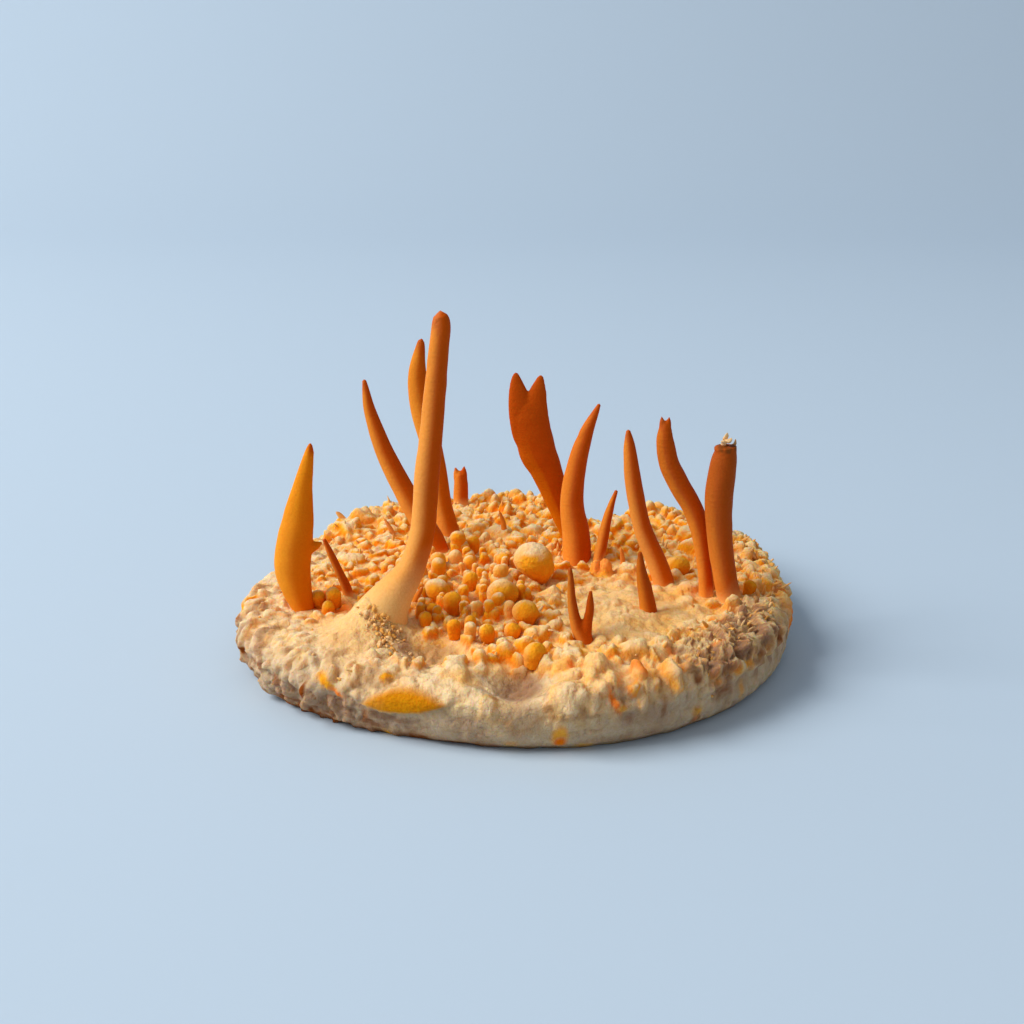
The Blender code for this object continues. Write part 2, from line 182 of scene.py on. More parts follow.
# The ways, from above, that a club's side with painted shade and its side with painted light face
SHADED_SIDE = (0.8, -0.6)
LIT_SIDE = (-0.9, -0.45)
# Height in mm above which a broken tip is brown
SCARS = {"broken_club": 33.4}
# How much a club's tube is thickened, the pieces of its path between two points, the points round
# it, and the size of the cells that fuse its branches
CLUB_PLUMP = 0.12 * MM
CLUB_PIECES = 12
CLUB_SIDES = 28
FUSE_CELL = 0.16 * MM

# The largest lumps, in mm: x, y, z, radius, height, then how pointed, orange and cream
BIG_LUMPS = (
    (1.6, -27.6, 9.2, 2.2, 2.4, 0.2, 0.7, 0.4), (11.4, -0.8, 9.4, 0.9, 2.6, 0, 1, 0.1),
    (13.1, -1.2, 9.4, 1, 2.4, 0, 1, 0.1), (-41.8, -8.7, 6.6, 1.4, 1.2, 0, 0.8, 0.5),
)

# Round bulbs on stems, in mm: x and y of the foot, lean sideways, radius, height, then how orange
# and how cream, and the stem's share of the radius
BULBS = (
    (3, -4.2, -1.5, 3.15, 6.7, 1, 1, 0.15), (-12.4, -12.4, -0.7, 1.9, 4, 0.9, 0.9, 0.5),
    (-10.3, -16.4, -0.3, 1.4, 3.8, 1, 0.2, 0.7), (-3.5, -13.6, 0.3, 2.4, 4.6, 1, 0.8, 0.5),
    (0.2, -21.7, -0.1, 1.95, 4, 1, 0.4, 0.5), (-8.2, 8.9, -0.2, 1.25, 3.5, 1, 0.4, 0.6),
    (-3.2, 0.5, 0, 1.1, 3.4, 1, 0.3, 0.7), (-10.1, -25.1, -0.1, 1, 3.1, 1, 0.1, 0.8),
    (1.1, -33.6, 0.3, 1.6, 3.4, 1, 0.4, 0.9), (-5.3, -27.2, -0.1, 1.2, 3.2, 1, 0.5, 0.7),
    (-14.2, -22.1, -0.1, 0.95, 2.7, 1, 0.3, 0.8), (-8.2, -8.6, 0, 1.25, 3.1, 1, 0.5, 0.6),
    (-1.8, -25.8, 0, 1.15, 2.6, 0.9, 0.5, 0.6), (-13.3, 1, -0.2, 1.3, 3.3, 0.8, 0.5, 0.6),
    (-13.6, -17.5, 0, 0.9, 2.2, 1, 0.2, 0.7), (-7.8, -23.6, 0, 1, 2.9, 1, 0.3, 0.7),
    (24.4, 0.6, 0, 2.1, 3.1, 1, 0.3, 0.7), (-30.6, -13.6, -0.3, 1.1, 3, 1, 0.6, 0.8),
    (-28.5, -13.9, 0, 1.2, 3.6, 1, 0.5, 0.8), (-29.3, -16.2, 0.2, 0.95, 2.2, 1, 0.3, 1),
    (34.2, -9.6, 0.2, 1, 2.8, 1, 0, 0.8),
)
# Share of the radius that the stems of the other bulbs have
SMALL_STEM = 0.75
BULB_RINGS = 12
BULB_SIDES = 18
BULB_COUNT = 55

# Small sprouts: x and y in mm, lean sideways and back for each unit up, length and half width in
# mm, and how pale
SPROUTS = (
    (-3.2, 16.5, 0.15, 0, 4.6, 0.55, 0.1), (-16.7, -15.5, 0.35, 0.1, 4, 0.5, 0.1),
    (-21.9, 18, -0.2, 0, 3, 0.45, 0.3), (-17, 12, 0.3, 0, 2.6, 0.4, 0.3),
    (16, 0.8, -0.1, 0, 3.2, 0.5, 0.2), (28.9, -8, 0.05, 0, 4.4, 0.5, 0.2),
    (-31, 26.4, -0.55, 0, 3.6, 0.55, 0.9), (36, 7, 1.2, 0, 2.6, 0.2, 0.9),
    (38.5, -1, 0.9, 0, 2.4, 0.22, 0.9), (39.5, -5.5, 1.8, 0, 2.4, 0.2, 0.9),
)

# Places kept clear of nubs, in mm: x, y, z, radius
CLEARINGS = (
    (-24.5, -23.5, 11, 6.5), (-25.5, -30, 9.5, 4.5), (-15.3, -40.2, 6.5, 4.5), (-20.8, -37.6, 4.7, 3),
    (-9.7, -41.9, 6.4, 3), (-0.7, -40, 7.5, 4.3), (-12.5, -30, 9, 3.5), (25.2, 3.5, 9, 1.8),
    (-17, -29, 9, 4), (14, 33, 6.5, 5), (15.5, 39, 4, 4.5), (19.5, 36.5, 5.5, 3), (12.5, 28, 8, 2.5),
    (2.6, 2.4, 9.2, 2.4),
)

# Nubs: how far their sides bulge, the share of the height that bulges most, darts thrown at the
# top and at the wall, and the power that fuses them
NUB_BULGE = 1.3
NUB_WAIST = 0.48
NUB_TRIES = 30000
WALL_TRIES = 5000
NUB_FUSE = 3.0

# Scraps left on the broken tip, in mm: x, y, z, half length, half width, half thickness
SCRAPS = (
    (29.1, -12.8, 34.4, 0.9, 0.5, 0.4), (29.7, -13, 34.8, 0.6, 0.6, 0.3),
    (29.3, -12.5, 35.1, 0.7, 0.4, 0.25), (30.6, -12.8, 34.3, 0.5, 0.25, 0.2),
)

# Nubs of each region: spacing, radius and height in mm, then how pointed, orange and cream, and
# length over width
NUB_HABITS = {
    "columns": (2.55, 1.35, 2.3, 0, 1, 0.75, 1.15), "back": (2.9, 1.6, 1.7, 0.15, 0.95, 0.85, 1.25),
    "plateau": (4.6, 2.5, 0.6, 0.1, 0.3, 0.25, 1.2), "cream": (4.4, 2.6, 1.4, 0.05, 0.15, 0.95, 1.3),
    "shred": (3, 1.6, 2.2, 0.35, 0.7, 0.8, 1.5), "grain": (2.5, 1.25, 0.9, 0.05, 0.2, 1, 1.5),
    "teeth": (2.9, 1.5, 2, 0.25, 0.6, 0.65, 1.6),
}
# How far the skin puffs up between its creases in each region, in mm
PUFFS = {"columns": 0.6, "back": 1.0, "plateau": 0.5, "cream": 0.8, "shred": 1.2, "grain": 1.0,
         "teeth": 0.9}

# Regions along the rim: middle, half width and fade in degrees, and the ways in, in mm, over which
# they end. Then the two inside the rim, as bells in mm: x, y, width and depth.
RIM_REGIONS = {"grain": (-160, 36, 22, 5, 11), "cream": (-106, 20, 12, 5, 10),
               "shred": (-3, 42, 18, 4, 10), "teeth": (-62, 24, 12, 4, 9)}
PLATEAU = (15, -17, 11, 13)
COLUMNS = (-7, -9, 15, 17)

# Torn flakes at the right of the rim: angles in degrees, and the least and largest half sizes in
# mm. Crumbs at the tall club's foot: the middle of their strip, and how it runs, in mm.
FLAKE_ARC = (-46, 24)
FLAKE_SIZES = ((0.6, 0.35, 0.12), (1.5, 0.8, 0.28))
CRUMB_PLACE = (-19.2, -28.0)
CRUMB_RUN = (1.5, -3.2)
# Seeds of the random numbers, and the rings of a tuft and of a sprout, which are as many as the
# points round it
NUB_SEED, BULB_SEED, BIT_SEED, TUFT_SEED = 21, 40, 50, 60
TUFT_RINGS = 5
SPROUT_RINGS = 10
# Height in mm at which the clubs and the bulbs keep the nubs away
FOOT_LEVEL = 9.5

# Marks on the wall: angle in degrees, way in mm, half length, half height, tilt, mask, strength
# The mauve marks are painted shade, under the leaf, in the front hollow and at the right lip, and the
# long rust mark at -82 degrees is a painted shadow line.
WALL_MARKS = (
    (-116, -4, 2.8, 1, -10, "mauve", 1), (-118.2, -5.7, 2.6, 0.6, -8, "rust", 0.75),
    (-112, -4.6, 2.2, 0.7, -4, "mauve", 0.9), (-127, -6.8, 3.4, 0.8, 0, "rust", 0.9),
    (-138, -6.6, 1.6, 0.9, 0, "rust", 0.9), (-146, -5.5, 1.2, 0.7, -20, "deep", 0.6),
    (-91, -1.8, 3.8, 2.8, 0, "mauve", 0.65), (-82, -1.9, 4.5, 0.5, 0, "rust", 0.45),
    (-74.7, -0.6, 1.9, 0.5, -58, "deep", 0.9), (-73.3, -1.3, 0.8, 0.6, 0, "orange", 0.8),
    (-68.4, 2.4, 0.8, 1.3, 0, "deep", 0.9), (-65.5, 1, 0.5, 1.7, -20, "rust", 0.7),
    (-57.9, -0.2, 0.9, 0.45, 10, "rust", 0.9), (-47.4, 3, 0.9, 0.7, 30, "deep", 0.9),
    (-57.2, -5.2, 1, 1.5, 20, "orange", 0.9), (-56.6, -6.3, 0.7, 0.5, 0, "rust", 0.8),
    (-84.1, -5, 1.2, 1.9, 0, "orange", 0.9), (-84, -6.1, 0.9, 0.9, 0, "deep", 1),
    (-92.6, -5.5, 1.1, 0.9, 0, "orange", 0.45), (-79.5, -6.9, 1.6, 0.6, 0, "orange", 0.7),
    (-95.8, 0.9, 0.8, 0.6, 0, "rust", 0.6), (-86.4, -0.9, 0.9, 0.6, 0, "rust", 0.6),
    (-80.5, -1.2, 0.7, 0.6, 0, "rust", 0.6), (-37.8, -6.8, 0.5, 0.4, 0, "rust", 0.9),
    (-14.5, -1, 4.2, 2.6, 20, "orange", 0.6), (-11.5, -0.2, 2, 2.2, 15, "deep", 0.9),
    (-16.5, -1.6, 2, 1.7, 20, "deep", 0.9), (-21, -3, 1, 1.8, 15, "rust", 0.6),
    (-29, -0.4, 0.5, 1.6, 10, "rust", 0.9), (-32.5, -1.6, 0.4, 1.2, 35, "rust", 0.9),
    (-43.5, -0.8, 1.3, 0.5, -10, "orange", 0.9), (-41, -1.2, 1.6, 0.5, -15, "rust", 0.6),
    (-50.5, -3, 1.2, 0.5, 0, "rust", 0.7), (-45, -4.2, 0.5, 1.6, 0, "orange", 0.5),
    (-40, 2.8, 3.2, 1.5, 0, "mauve", 0.6), (-143.8, -1.9, 1.3, 0.5, -20, "rust", 0.7),
    (-138.4, -2.9, 1.6, 0.6, -30, "rust", 0.7), (-135.2, -5.6, 1.9, 0.5, -10, "rust", 0.8),
    (-128.2, -6.4, 2.8, 0.5, -5, "rust", 0.8), (-126.5, -0.7, 2.5, 0.6, -24, "orange", 1),
    (-124.6, -1.5, 1.3, 0.5, -24, "deep", 0.9), (-167, -1, 1.7, 0.9, 0, "orange", 1),
    (-167, -1.5, 1, 0.4, 0, "deep", 0.8), (-160, -1.6, 0.9, 1.3, 0, "rust", 0.8),
    (-57.4, -6.3, 0.6, 0.5, 0, "deep", 0.9),
)
# The leaf-shaped patch at the front left of the wall: angle in degrees, way, half length, half
# height above and below in mm, and tilt in degrees
LEAF = (-111.8, -1.9, 6.4, 2.3, 1.4, 5)
LEAF_RISE = 0.6 * MM

# Marks on the top, in mm: x, y, half width, half depth, tilt, mask, strength
# The mauve marks are painted shade, in the front hollow and in the pit by the crumbs.
TOP_MARKS = (
    (-0.7, -38.8, 3.6, 4.6, 0, "mauve", 0.95), (-12.8, -29, 3.4, 3.2, 0, "mauve", 0.6),
    (-18.6, -38.1, 1.1, 0.9, 20, "orange", 1), (-18.2, -38.6, 0.7, 0.4, 20, "rust", 0.6),
    (-25.2, -27, 4.6, 7, 20, "peach", 1), (-7.8, -39.5, 2.2, 2, 0, "orange", 0.35),
    (-26.9, -32.8, 0.9, 1.8, 0, "rust", 0.35), (-21.6, -22.4, 5.4, 5.2, 0, "peach", 1),
    (-17.4, -29, 2.6, 4.2, 15, "mauve", 0.7), (12.2, -1.4, 2.4, 1.6, 0, "orange", 1),
    (9, -38, 5, 3.6, 0, "peach", 0.8), (5, -37.5, 2, 1.6, 0, "orange", 0.6),
    (6, -37.2, 0.6, 0.6, 0, "deep", 0.8), (25.2, 3.5, 1.6, 1.5, 0, "deep", 0.9),
    (12.6, -1, 2, 1.2, 0, "deep", 0.6), (-31, -12.6, 2.4, 2.2, 0, "deep", 1),
    (-28.3, -14.6, 3, 3.2, 0, "deep", 0.9), (-16.5, -14.5, 1.2, 2, 30, "deep", 0.7),
    (15, -35.3, 0.7, 1.2, 0, "rust", 0.5), (30.4, -17.6, 1.2, 0.7, 0, "deep", 0.5),
    (8.1, -32.6, 1, 1.4, 0, "orange", 0.7), (20.2, -32.4, 0.9, 0.7, 0, "deep", 0.7),
    (22.4, -36.3, 1.2, 0.8, 0, "rust", 0.6), (16.8, -37.6, 1, 0.9, 0, "orange", 0.5),
    (14.4, -37.6, 0.7, 0.9, 0, "deep", 0.8), (33.2, -13.4, 3, 1.9, 0, "cream", 0.8),
    (22.8, -10, 3.4, 1.8, 0, "orange", 0.5),
)

# Camera and lights. A light's row gives its name, place, target, size, power and colour.
LENS = 52.7
SENSOR = 36.0
CAMERA_PLACE = (-1.8 * MM, -222.9 * MM, 93.4 * MM)
CAMERA_DOWN = math.radians(18.33)
LIGHTS = (
    ("key_light", (-0.93, -0.15, 0.88), (0, 0, 0.01), 0.8, 17.5, (1.0, 0.97, 0.92)),
    ("fill_light", (-0.5, -1.0, 0.6), (0, 0, 0.02), 0.8, 0.2, (1.0, 0.98, 0.95)),
)
FLOOR_HALF = 2.0
FLOOR_FLAT = 0.45
FLOOR_BEND = 0.5

NOISE = np.random.default_rng(5).uniform(-1, 1, (32, 32, 32))
NOISE_SHIFT = 17.3


def soft_noise(points, cell, seed=0):
    """Smooth noise from -1 to 1: random numbers at the corners of cubes of side cell, blended
    inside each cube along every axis by 3t^2 - 2t^3."""
    places = points / cell + seed * NOISE_SHIFT
    corner = np.floor(places).astype(int)
    t = places - corner
    t = t * t * (3 - 2 * t)
    value = np.zeros(len(points))
    for step in np.ndindex(2, 2, 2):
        i, j, k = ((corner + step) % len(NOISE)).T
        value += np.prod(np.where(step, t, 1 - t), axis=1) * NOISE[i, j, k]
    return value


def smooth(low, high, value):
    """0 below low, 1 above high, and 3t^2 - 2t^3 between them."""
    t = np.clip((value - low) / (high - low), 0, 1)
    return t * t * (3 - 2 * t)


def unit(rows):
    """Each row over its own length."""
    return rows / np.linalg.norm(rows, axis=-1, keepdims=True)


def rays(angle):
    """Level directions at the angles."""
    return np.column_stack((np.cos(angle), np.sin(angle), np.zeros_like(angle)))


def ring_angles(count):
    """Angles of count points round a ring."""
    return np.linspace(0, 2 * math.pi, count, endpoint=False)


def shift(points, cell, seed):
    """Smooth noise in each of the three directions."""
    return np.column_stack([soft_noise(points, cell, seed + axis) for axis in range(3)])


def arc(angle, centre, half, soft):
    """1 within half degrees of the centre angle, falling to 0 over soft degrees."""
    off = np.abs((np.degrees(angle) - centre + 180) % 360 - 180)
    return 1 - smooth(half, half + soft, off)


def mound(x, y, centre_x, centre_y, radius_x, radius_y):
    """A bell of height 1 at its centre, exp(-(dx/rx)^2 - (dy/ry)^2), all in mm."""
    return np.exp(-((x / MM - centre_x) / radius_x) ** 2 - ((y / MM - centre_y) / radius_y) ** 2)


def rim_radius(angle):
    """Radius of the rim: RIM_RADIUS plus a cosine for each of RIM_WAVES."""
    return RIM_RADIUS + sum(size * np.cos(waves * angle - math.radians(turn))
                            for waves, size, turn in RIM_WAVES)


def top_way(x, y):
    """Angle of a place on the top, and its way in from the middle of the rounded corner."""
    angle = np.arctan2(y, x)
    return angle, rim_radius(angle) - CORNER_CUT - np.hypot(x, y)


def regions(angle, way):
    """How far each region holds at an angle and a way in over the top: weights from 0 to 1."""
    radius = rim_radius(angle) - CORNER_CUT - way
    x, y = radius * np.cos(angle), radius * np.sin(angle)
    grain, cream, shred, teeth = (arc(angle, *sides) * (1 - smooth(start, end, way / MM))
                                  for *sides, start, end in RIM_REGIONS.values())
    cream *= 1 - grain
    teeth *= (1 - shred) * (1 - cream)
    edge = np.maximum.reduce((grain, cream, shred, teeth))
    plateau = np.clip(1.6 * mound(x, y, *PLATEAU), 0, 1) * (1 - edge)
    columns = np.clip(1.7 * mound(x, y, *COLUMNS), 0, 1) * (1 - plateau) * (1 - edge)
    back = 1 - np.maximum.reduce((edge, plateau, columns))
    return {"columns": columns, "back": back, "plateau": plateau, "cream": cream, "shred": shred,
            "grain": grain, "teeth": teeth}


def top_height(x, y):
    """Height of the bare top: a plateau that falls as the square of the way into the shoulder,
    plus the swells as bells and noise in two sizes."""
    edge = np.hypot(x, y) / rim_radius(np.arctan2(y, x))
    fall = np.clip((edge - 1 + SHOULDER) / SHOULDER, 0, 1)
    height = TOP_HEIGHT - (TOP_HEIGHT - RIM_HEIGHT) * fall ** 2
    for swell_x, swell_y, radius, rise in np.array(SWELLS) * MM:
        height += rise * np.exp(-((x - swell_x) ** 2 + (y - swell_y) ** 2) / radius ** 2)
    flat = np.column_stack((x, y, np.zeros_like(x)))
    return height + 0.5 * MM * soft_noise(flat, 6 * MM, 1) + 0.2 * MM * soft_noise(flat, 2.5 * MM, 2)


def skin_place(angle, way):
    """Points of the bare skin, and the way out from them, at an angle and a way along its profile.

    The way is measured from the middle of the rounded corner. Where it is positive the point is
    that far in over the top. Where it is negative the point is that far down: first along the
    corner's arc of radius CORNER, then along a straight wall with a bulge, from the rim's radius
    to the foot's.
    """
    rim = rim_radius(angle)
    ray, up = rays(angle), np.array((0.0, 0.0, 1.0))
    rim_top = top_height(*(rim[:, None] * ray[:, :2]).T)
    inward = np.clip(CORNER_CUT + way, 0, None)
    radius = rim - inward
    drop = CORNER - np.sqrt(CORNER ** 2 - np.clip(CORNER - inward, 0, None) ** 2)
    top = top_height(radius * ray[:, 0], radius * ray[:, 1]) - drop
    top_lean = math.pi / 4 * (1 - smooth(0, 2.5 * CORNER, way))

    lean = math.pi / 4 + np.clip(-way, 0, CORNER_WAY) / CORNER
    length = rim_top - CORNER
    share = np.clip((-way - CORNER_WAY) / length, 0, 1)
    foot = rim - UNDERCUT - UNDERCUT_SWING * np.cos(angle - UNDERCUT_SIDE)
    bulge = WALL_BULGE * np.sin(math.pi * share)
    wall_radius = np.where(share > 0, (1 - share) * rim + share * foot + bulge,
                           rim - CORNER + CORNER * np.sin(lean))
    wall = np.where(share > 0, length * (1 - share), length + CORNER * np.cos(lean))

    over = way >= 0
    radius, height = np.where(over, radius, wall_radius), np.where(over, top, wall)
    lean = np.where(over, top_lean, lean)[:, None]
    return radius[:, None] * ray + height[:, None] * up, np.sin(lean) * ray + np.cos(lean) * up


def put_object(name, data):
    """A new object in the scene that holds the data."""
    made = bpy.data.objects.new(name, data)
    bpy.context.scene.collection.objects.link(made)
    return made


def put_mesh(name, points, faces, masks, material, slot, *nodes):
    """Put a surface into the scene as a piece: its points, faces and masks, then its material."""
    mesh = bpy.data.meshes.new(name)
    mesh.from_pydata(np.maximum(points, (-1, -1, 0)).tolist(), [], faces)
    for mask, values in masks.items():
        values = np.clip(values, 0, 1).astype(np.float32)
        mesh.attributes.new(mask, "FLOAT", "POINT").data.foreach_set("value", values)
    mesh.materials.append(material)
    mesh.shade_smooth()
    piece = put_object(name, mesh)
    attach(piece, BODY)
    if nodes:
        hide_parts(*nodes)


def tube_faces(count, rings, around):
    """Faces of count tubes in a row, each of rings x around points and then its two poles."""
    size = rings * around + 2
    ring, turn = np.meshgrid(np.arange(rings - 1), np.arange(around), indexing="ij")
    a = (ring * around + turn).ravel()
    b = (ring * around + (turn + 1) % around).ravel()
    quads = np.column_stack((a, b, b + around, a + around))
    turn = np.arange(around)
    after = (turn + 1) % around
    last = (rings - 1) * around
    low = np.column_stack((after, turn, np.full(around, rings * around)))
    high = np.column_stack((last + turn, last + after, np.full(around, rings * around + 1)))
    starts = np.arange(count)[:, None, None] * size
    quads = (quads[None] + starts).reshape(-1, 4)
    tris = (np.vstack((low, high))[None] + starts).reshape(-1, 3)
    return quads.tolist() + tris.tolist()


def smooth_path(points, pieces):
    """Catmull-Rom curve through the rows of points, cut into pieces between every two of them."""
    knots = np.vstack((2 * points[0] - points[1], points, 2 * points[-1] - points[-2]))
    t = (np.arange(pieces) / pieces)[:, None]
    before, start, end, after = (knots[i:len(knots) - 3 + i, None] for i in range(4))
    path = 0.5 * (2 * start + (end - before) * t + (2 * before - 5 * start + 4 * end - after) * t ** 2
                  + (3 * start - before - 3 * end + after) * t ** 3)
    return np.vstack((path.reshape(-1, points.shape[1]), knots[-2]))


def tube_points(path, flat, around):
    """Rings along a path of x, y, z and half width: centre + width (A cos u + B sin u), with A and
    B square to the path, narrowed front to back by flat. The two poles come last."""
    centre = path[:, :3] / (1, flat, 1)
    ahead = unit(np.gradient(centre, axis=0))
    side = unit(np.cross((0.0, 1.0, 0.0), ahead))
    back = np.cross(ahead, side)
    u = ring_angles(around)[:, None]
    circle = side[:, None] * np.cos(u) + back[:, None] * np.sin(u)
    rings = centre[:, None] + path[:, 3, None, None] * circle
    poles = (centre[0] - ahead[0] * path[0, 3] * 0.5, centre[-1] + ahead[-1] * path[-1, 3] * 0.7)
    return np.vstack((rings.reshape(-1, 3), poles)) * (1, flat, 1)


def round_marks(across, along, marks):
    """Each mark's mask, and its strength inside an ellipse turned by its tilt and 0 outside."""
    for middle_across, middle_along, long, high, tilt, mask, strength in marks:
        turn = math.radians(tilt)
        u, v = across(middle_across), along - middle_along
        reach = np.hypot((u * math.cos(turn) + v * math.sin(turn)) / long,
                         (v * math.cos(turn) - u * math.sin(turn)) / high)
        yield mask, strength * (1 - smooth(0.5, 1.3, reach))


def leaf_share(angle, way):
    """1 on the leaf-shaped patch and 0 off it: |v| stays under 1 - u^2 along its length u."""
    middle, drop, long, above, below, tilt = LEAF
    across, along = (angle - math.radians(middle)) * RIM_RADIUS / MM, way / MM - drop
    turn = math.radians(tilt)
    u = (across * math.cos(turn) + along * math.sin(turn)) / long
    v = along * math.cos(turn) - across * math.sin(turn)
    v = np.where(v > 0, v / above, -v / below)
    return 1 - smooth(0.6, 1.2, u ** 2 + v)


def spread_nubs():
    """Throw darts at the top and the wall that keep a spacing set by the region. Each nub gets its
    angle, way in, radius, height, how pointed, orange and cream it is, length and turn."""
    random = np.random.default_rng(NUB_SEED)
    x, y = random.uniform(-RIM_RADIUS - 5 * MM, RIM_RADIUS + 5 * MM, (2, NUB_TRIES))
    angle, way = top_way(x, y)
    angle = np.append(angle, random.uniform(-math.pi, math.pi, WALL_TRIES))
    way = np.append(way, random.uniform(-8.5 * MM, 0, WALL_TRIES))
    darts = np.flatnonzero((way > 0) | (np.arange(len(way)) >= NUB_TRIES))
    angle, way = angle[darts], way[darts]
    places, _ = skin_place(angle, way)
    chance = random.uniform(0, 1, (len(darts), 6))
    zone = regions(angle, way)
    weights = np.column_stack([zone[name] for name in NUB_HABITS])
    habits = weights @ np.array(tuple(NUB_HABITS.values())) / weights.sum(axis=1, keepdims=True)
    scale = np.minimum(0.55 + 1.25 * chance[:, 0] ** 2.2, 1.8 - 0.75 * (zone["teeth"] + zone["shred"]))
    spacing = habits[:, 0] * MM * scale
    big = np.array(BIG_LUMPS)
    feet = np.array([(*foot, FOOT_LEVEL, 2.3 * points[1][3]) for foot, _, points in CLUBS.values()])
    clear = np.array(CLEARINGS) * (1, 1, 1, 2)
    bulbs = np.array([(x, y, FOOT_LEVEL, 1.3 * radius) for x, y, _, radius, *_ in BULBS])
    taken = np.vstack((big[:, :3], feet[:, :3], clear[:, :3], bulbs[:, :3])) * MM
    room = np.concatenate((big[:, 3] * 1.9, feet[:, 3], clear[:, 3], bulbs[:, 3])) * MM
    chosen = []
    for dart in range(len(darts)):
        away = np.linalg.norm(taken - places[dart], axis=1)
        if (away > 0.5 * (room + spacing[dart])).all():
            chosen.append(dart)
            taken = np.vstack((taken, places[dart]))
            room = np.append(room, spacing[dart])
    habits, chance, way, scale = habits[chosen], chance[chosen], way[chosen], scale[chosen]
    angle, grain, teeth = angle[chosen], zone["grain"][chosen], zone["teeth"][chosen]
    keep = np.maximum.reduce((smooth(-3.5 * MM, 0.8 * MM, way), grain, 0.5 * arc(angle, 90, 70, 20)))
    keep *= 1 - 0.5 * arc(angle, 90, 80, 20) * (1 - smooth(0, 4 * MM, way))
    turn = math.pi * np.where(teeth > 0.5, 0.5 + 0.15 * (chance[:, 5] - 0.5), chance[:, 5])
    return np.column_stack((
        angle, way, habits[:, 1] * MM * scale * (0.9 + 0.3 * chance[:, 1]),
        keep * habits[:, 2] * MM * scale ** 0.6 * (0.6 + 0.8 * chance[:, 2]),
        habits[:, 3] + 0.35 * (chance[:, 4] - 0.3), habits[:, 4] * (0.45 + 0.8 * chance[:, 3]),
        habits[:, 5], 1 + (habits[:, 6] - 1) * (0.6 + 0.8 * chance[:, 4]), turn))


def paint(masks, bare, angle, way):
    """Lay the marks of the wall and the top over the masks, and then the leaf-shaped patch."""
    radius = np.hypot(bare[:, 0], bare[:, 1]) / MM
    flat_x, flat_y = bare[:, 0] / MM, bare[:, 1] / MM
    ways = way / MM + 0.25 * soft_noise(bare, 1.5 * MM, 45)

    def round_way(middle):
        return ((angle - math.radians(middle) + math.pi) % (2 * math.pi) - math.pi) * radius

    on_wall = round_marks(round_way, ways, WALL_MARKS)
    on_top = round_marks(lambda middle: flat_x - middle, flat_y + 0.3 * soft_noise(bare, 1.5 * MM, 46),
                         TOP_MARKS)
    for mask, inside in (*on_wall, *on_top):
        inside = inside * (way > -20 * MM)
        for name in masks:
            if name == mask:
                masks[name] = np.maximum(masks[name], inside)
            elif mask != "mauve" and name != "wall":
                masks[name] = masks[name] * (1 - inside)
    leaf = leaf_share(angle, way)
    for name in masks:
        masks[name] = masks[name] * (1 - leaf)
    across = (angle - math.radians(LEAF[0])) * RIM_RADIUS / MM
    masks["leaf"] = leaf * (0.7 + 0.3 * smooth(-6, -2, across + 2 * soft_noise(bare, 1.5 * MM, 47)))
    rusty = smooth(1.5, 6.0, across - 1.5 * (way / MM - LEAF[1]))
    masks["rust"] = np.maximum(masks["rust"], 0.4 * leaf * rusty)
    pale = smooth(-1, 2, across) * (1 - smooth(3, 5, across))
    masks["cream"] = np.maximum(masks["cream"], 0.25 * leaf * pale)
    return masks


def point_normals(points, quads):
    """Directions square to a surface at its points: the sum of those of the quads that meet there."""
    one, two, three, four = (points[quads[:, i]] for i in range(4))
    square = np.cross(three - one, four - two)
    total = np.zeros_like(points)
    for corner in range(4):
        np.add.at(total, quads[:, corner], square)
    return total / np.maximum(np.linalg.norm(total, axis=1, keepdims=True), 1e-12)


def skin_grid():
    """Angle and way of the skin's points, its quads, and its rows of points from the corner down.

    The top is a square grid folded into a disc: a point (a, b) with |a| > |b| goes to radius a and
    angle 45 degrees times b / a, and the other way round. Rows of points round the corner and down
    the wall follow it.
    """
    line = np.linspace(-1, 1, TOP_CELLS + 1)
    a, b = (grid.ravel() for grid in np.meshgrid(line, line, indexing="ij"))
    wide = np.abs(a) > np.abs(b)
    safe_a, safe_b = np.where(a == 0, 1, a), np.where(b == 0, 1, b)
    disc_radius = np.where(wide, a, b)
    disc_angle = np.where(wide, math.pi / 4 * b / safe_a, math.pi / 2 - math.pi / 4 * a / safe_b)
    x, y = disc_radius * np.cos(disc_angle), disc_radius * np.sin(disc_angle)
    edge, angle = np.hypot(x, y), np.arctan2(y, x)
    way = (1 - edge) * (rim_radius(angle) - CORNER_CUT)

    cells = TOP_CELLS + 1
    index = np.arange(cells * cells).reshape(cells, cells)
    loop = np.concatenate((index[:-1, 0], index[-1, :-1], index[:0:-1, -1], index[0, :0:-1]))
    rim = rim_radius(angle[loop])
    rim_top = top_height(rim * np.cos(angle[loop]), rim * np.sin(angle[loop]))
    corner = np.arange(1, CORNER_ROWS + 1)[:, None] / CORNER_ROWS * CORNER_WAY + 0 * rim_top
    down = CORNER_WAY + np.arange(1, WALL_ROWS + 1)[:, None] / WALL_ROWS * (rim_top - CORNER)
    way = np.concatenate((way, -corner.ravel(), -down.ravel()))
    angle = np.concatenate((angle, np.tile(angle[loop], CORNER_ROWS + WALL_ROWS)))

    corner = index[:-1, :-1].ravel()
    top_quads = np.column_stack((corner, corner + cells, corner + cells + 1, corner + 1))
    below = cells ** 2 + np.arange((CORNER_ROWS + WALL_ROWS) * len(loop)).reshape(-1, len(loop))
    rows = np.vstack((loop[None], below))
    ahead = np.roll(rows, -1, axis=1)
    wall_quads = np.stack((rows[1:], ahead[1:], ahead[:-1], rows[:-1]), axis=-1).reshape(-1, 4)
    return angle, way, np.vstack((top_quads, wall_quads)), rows


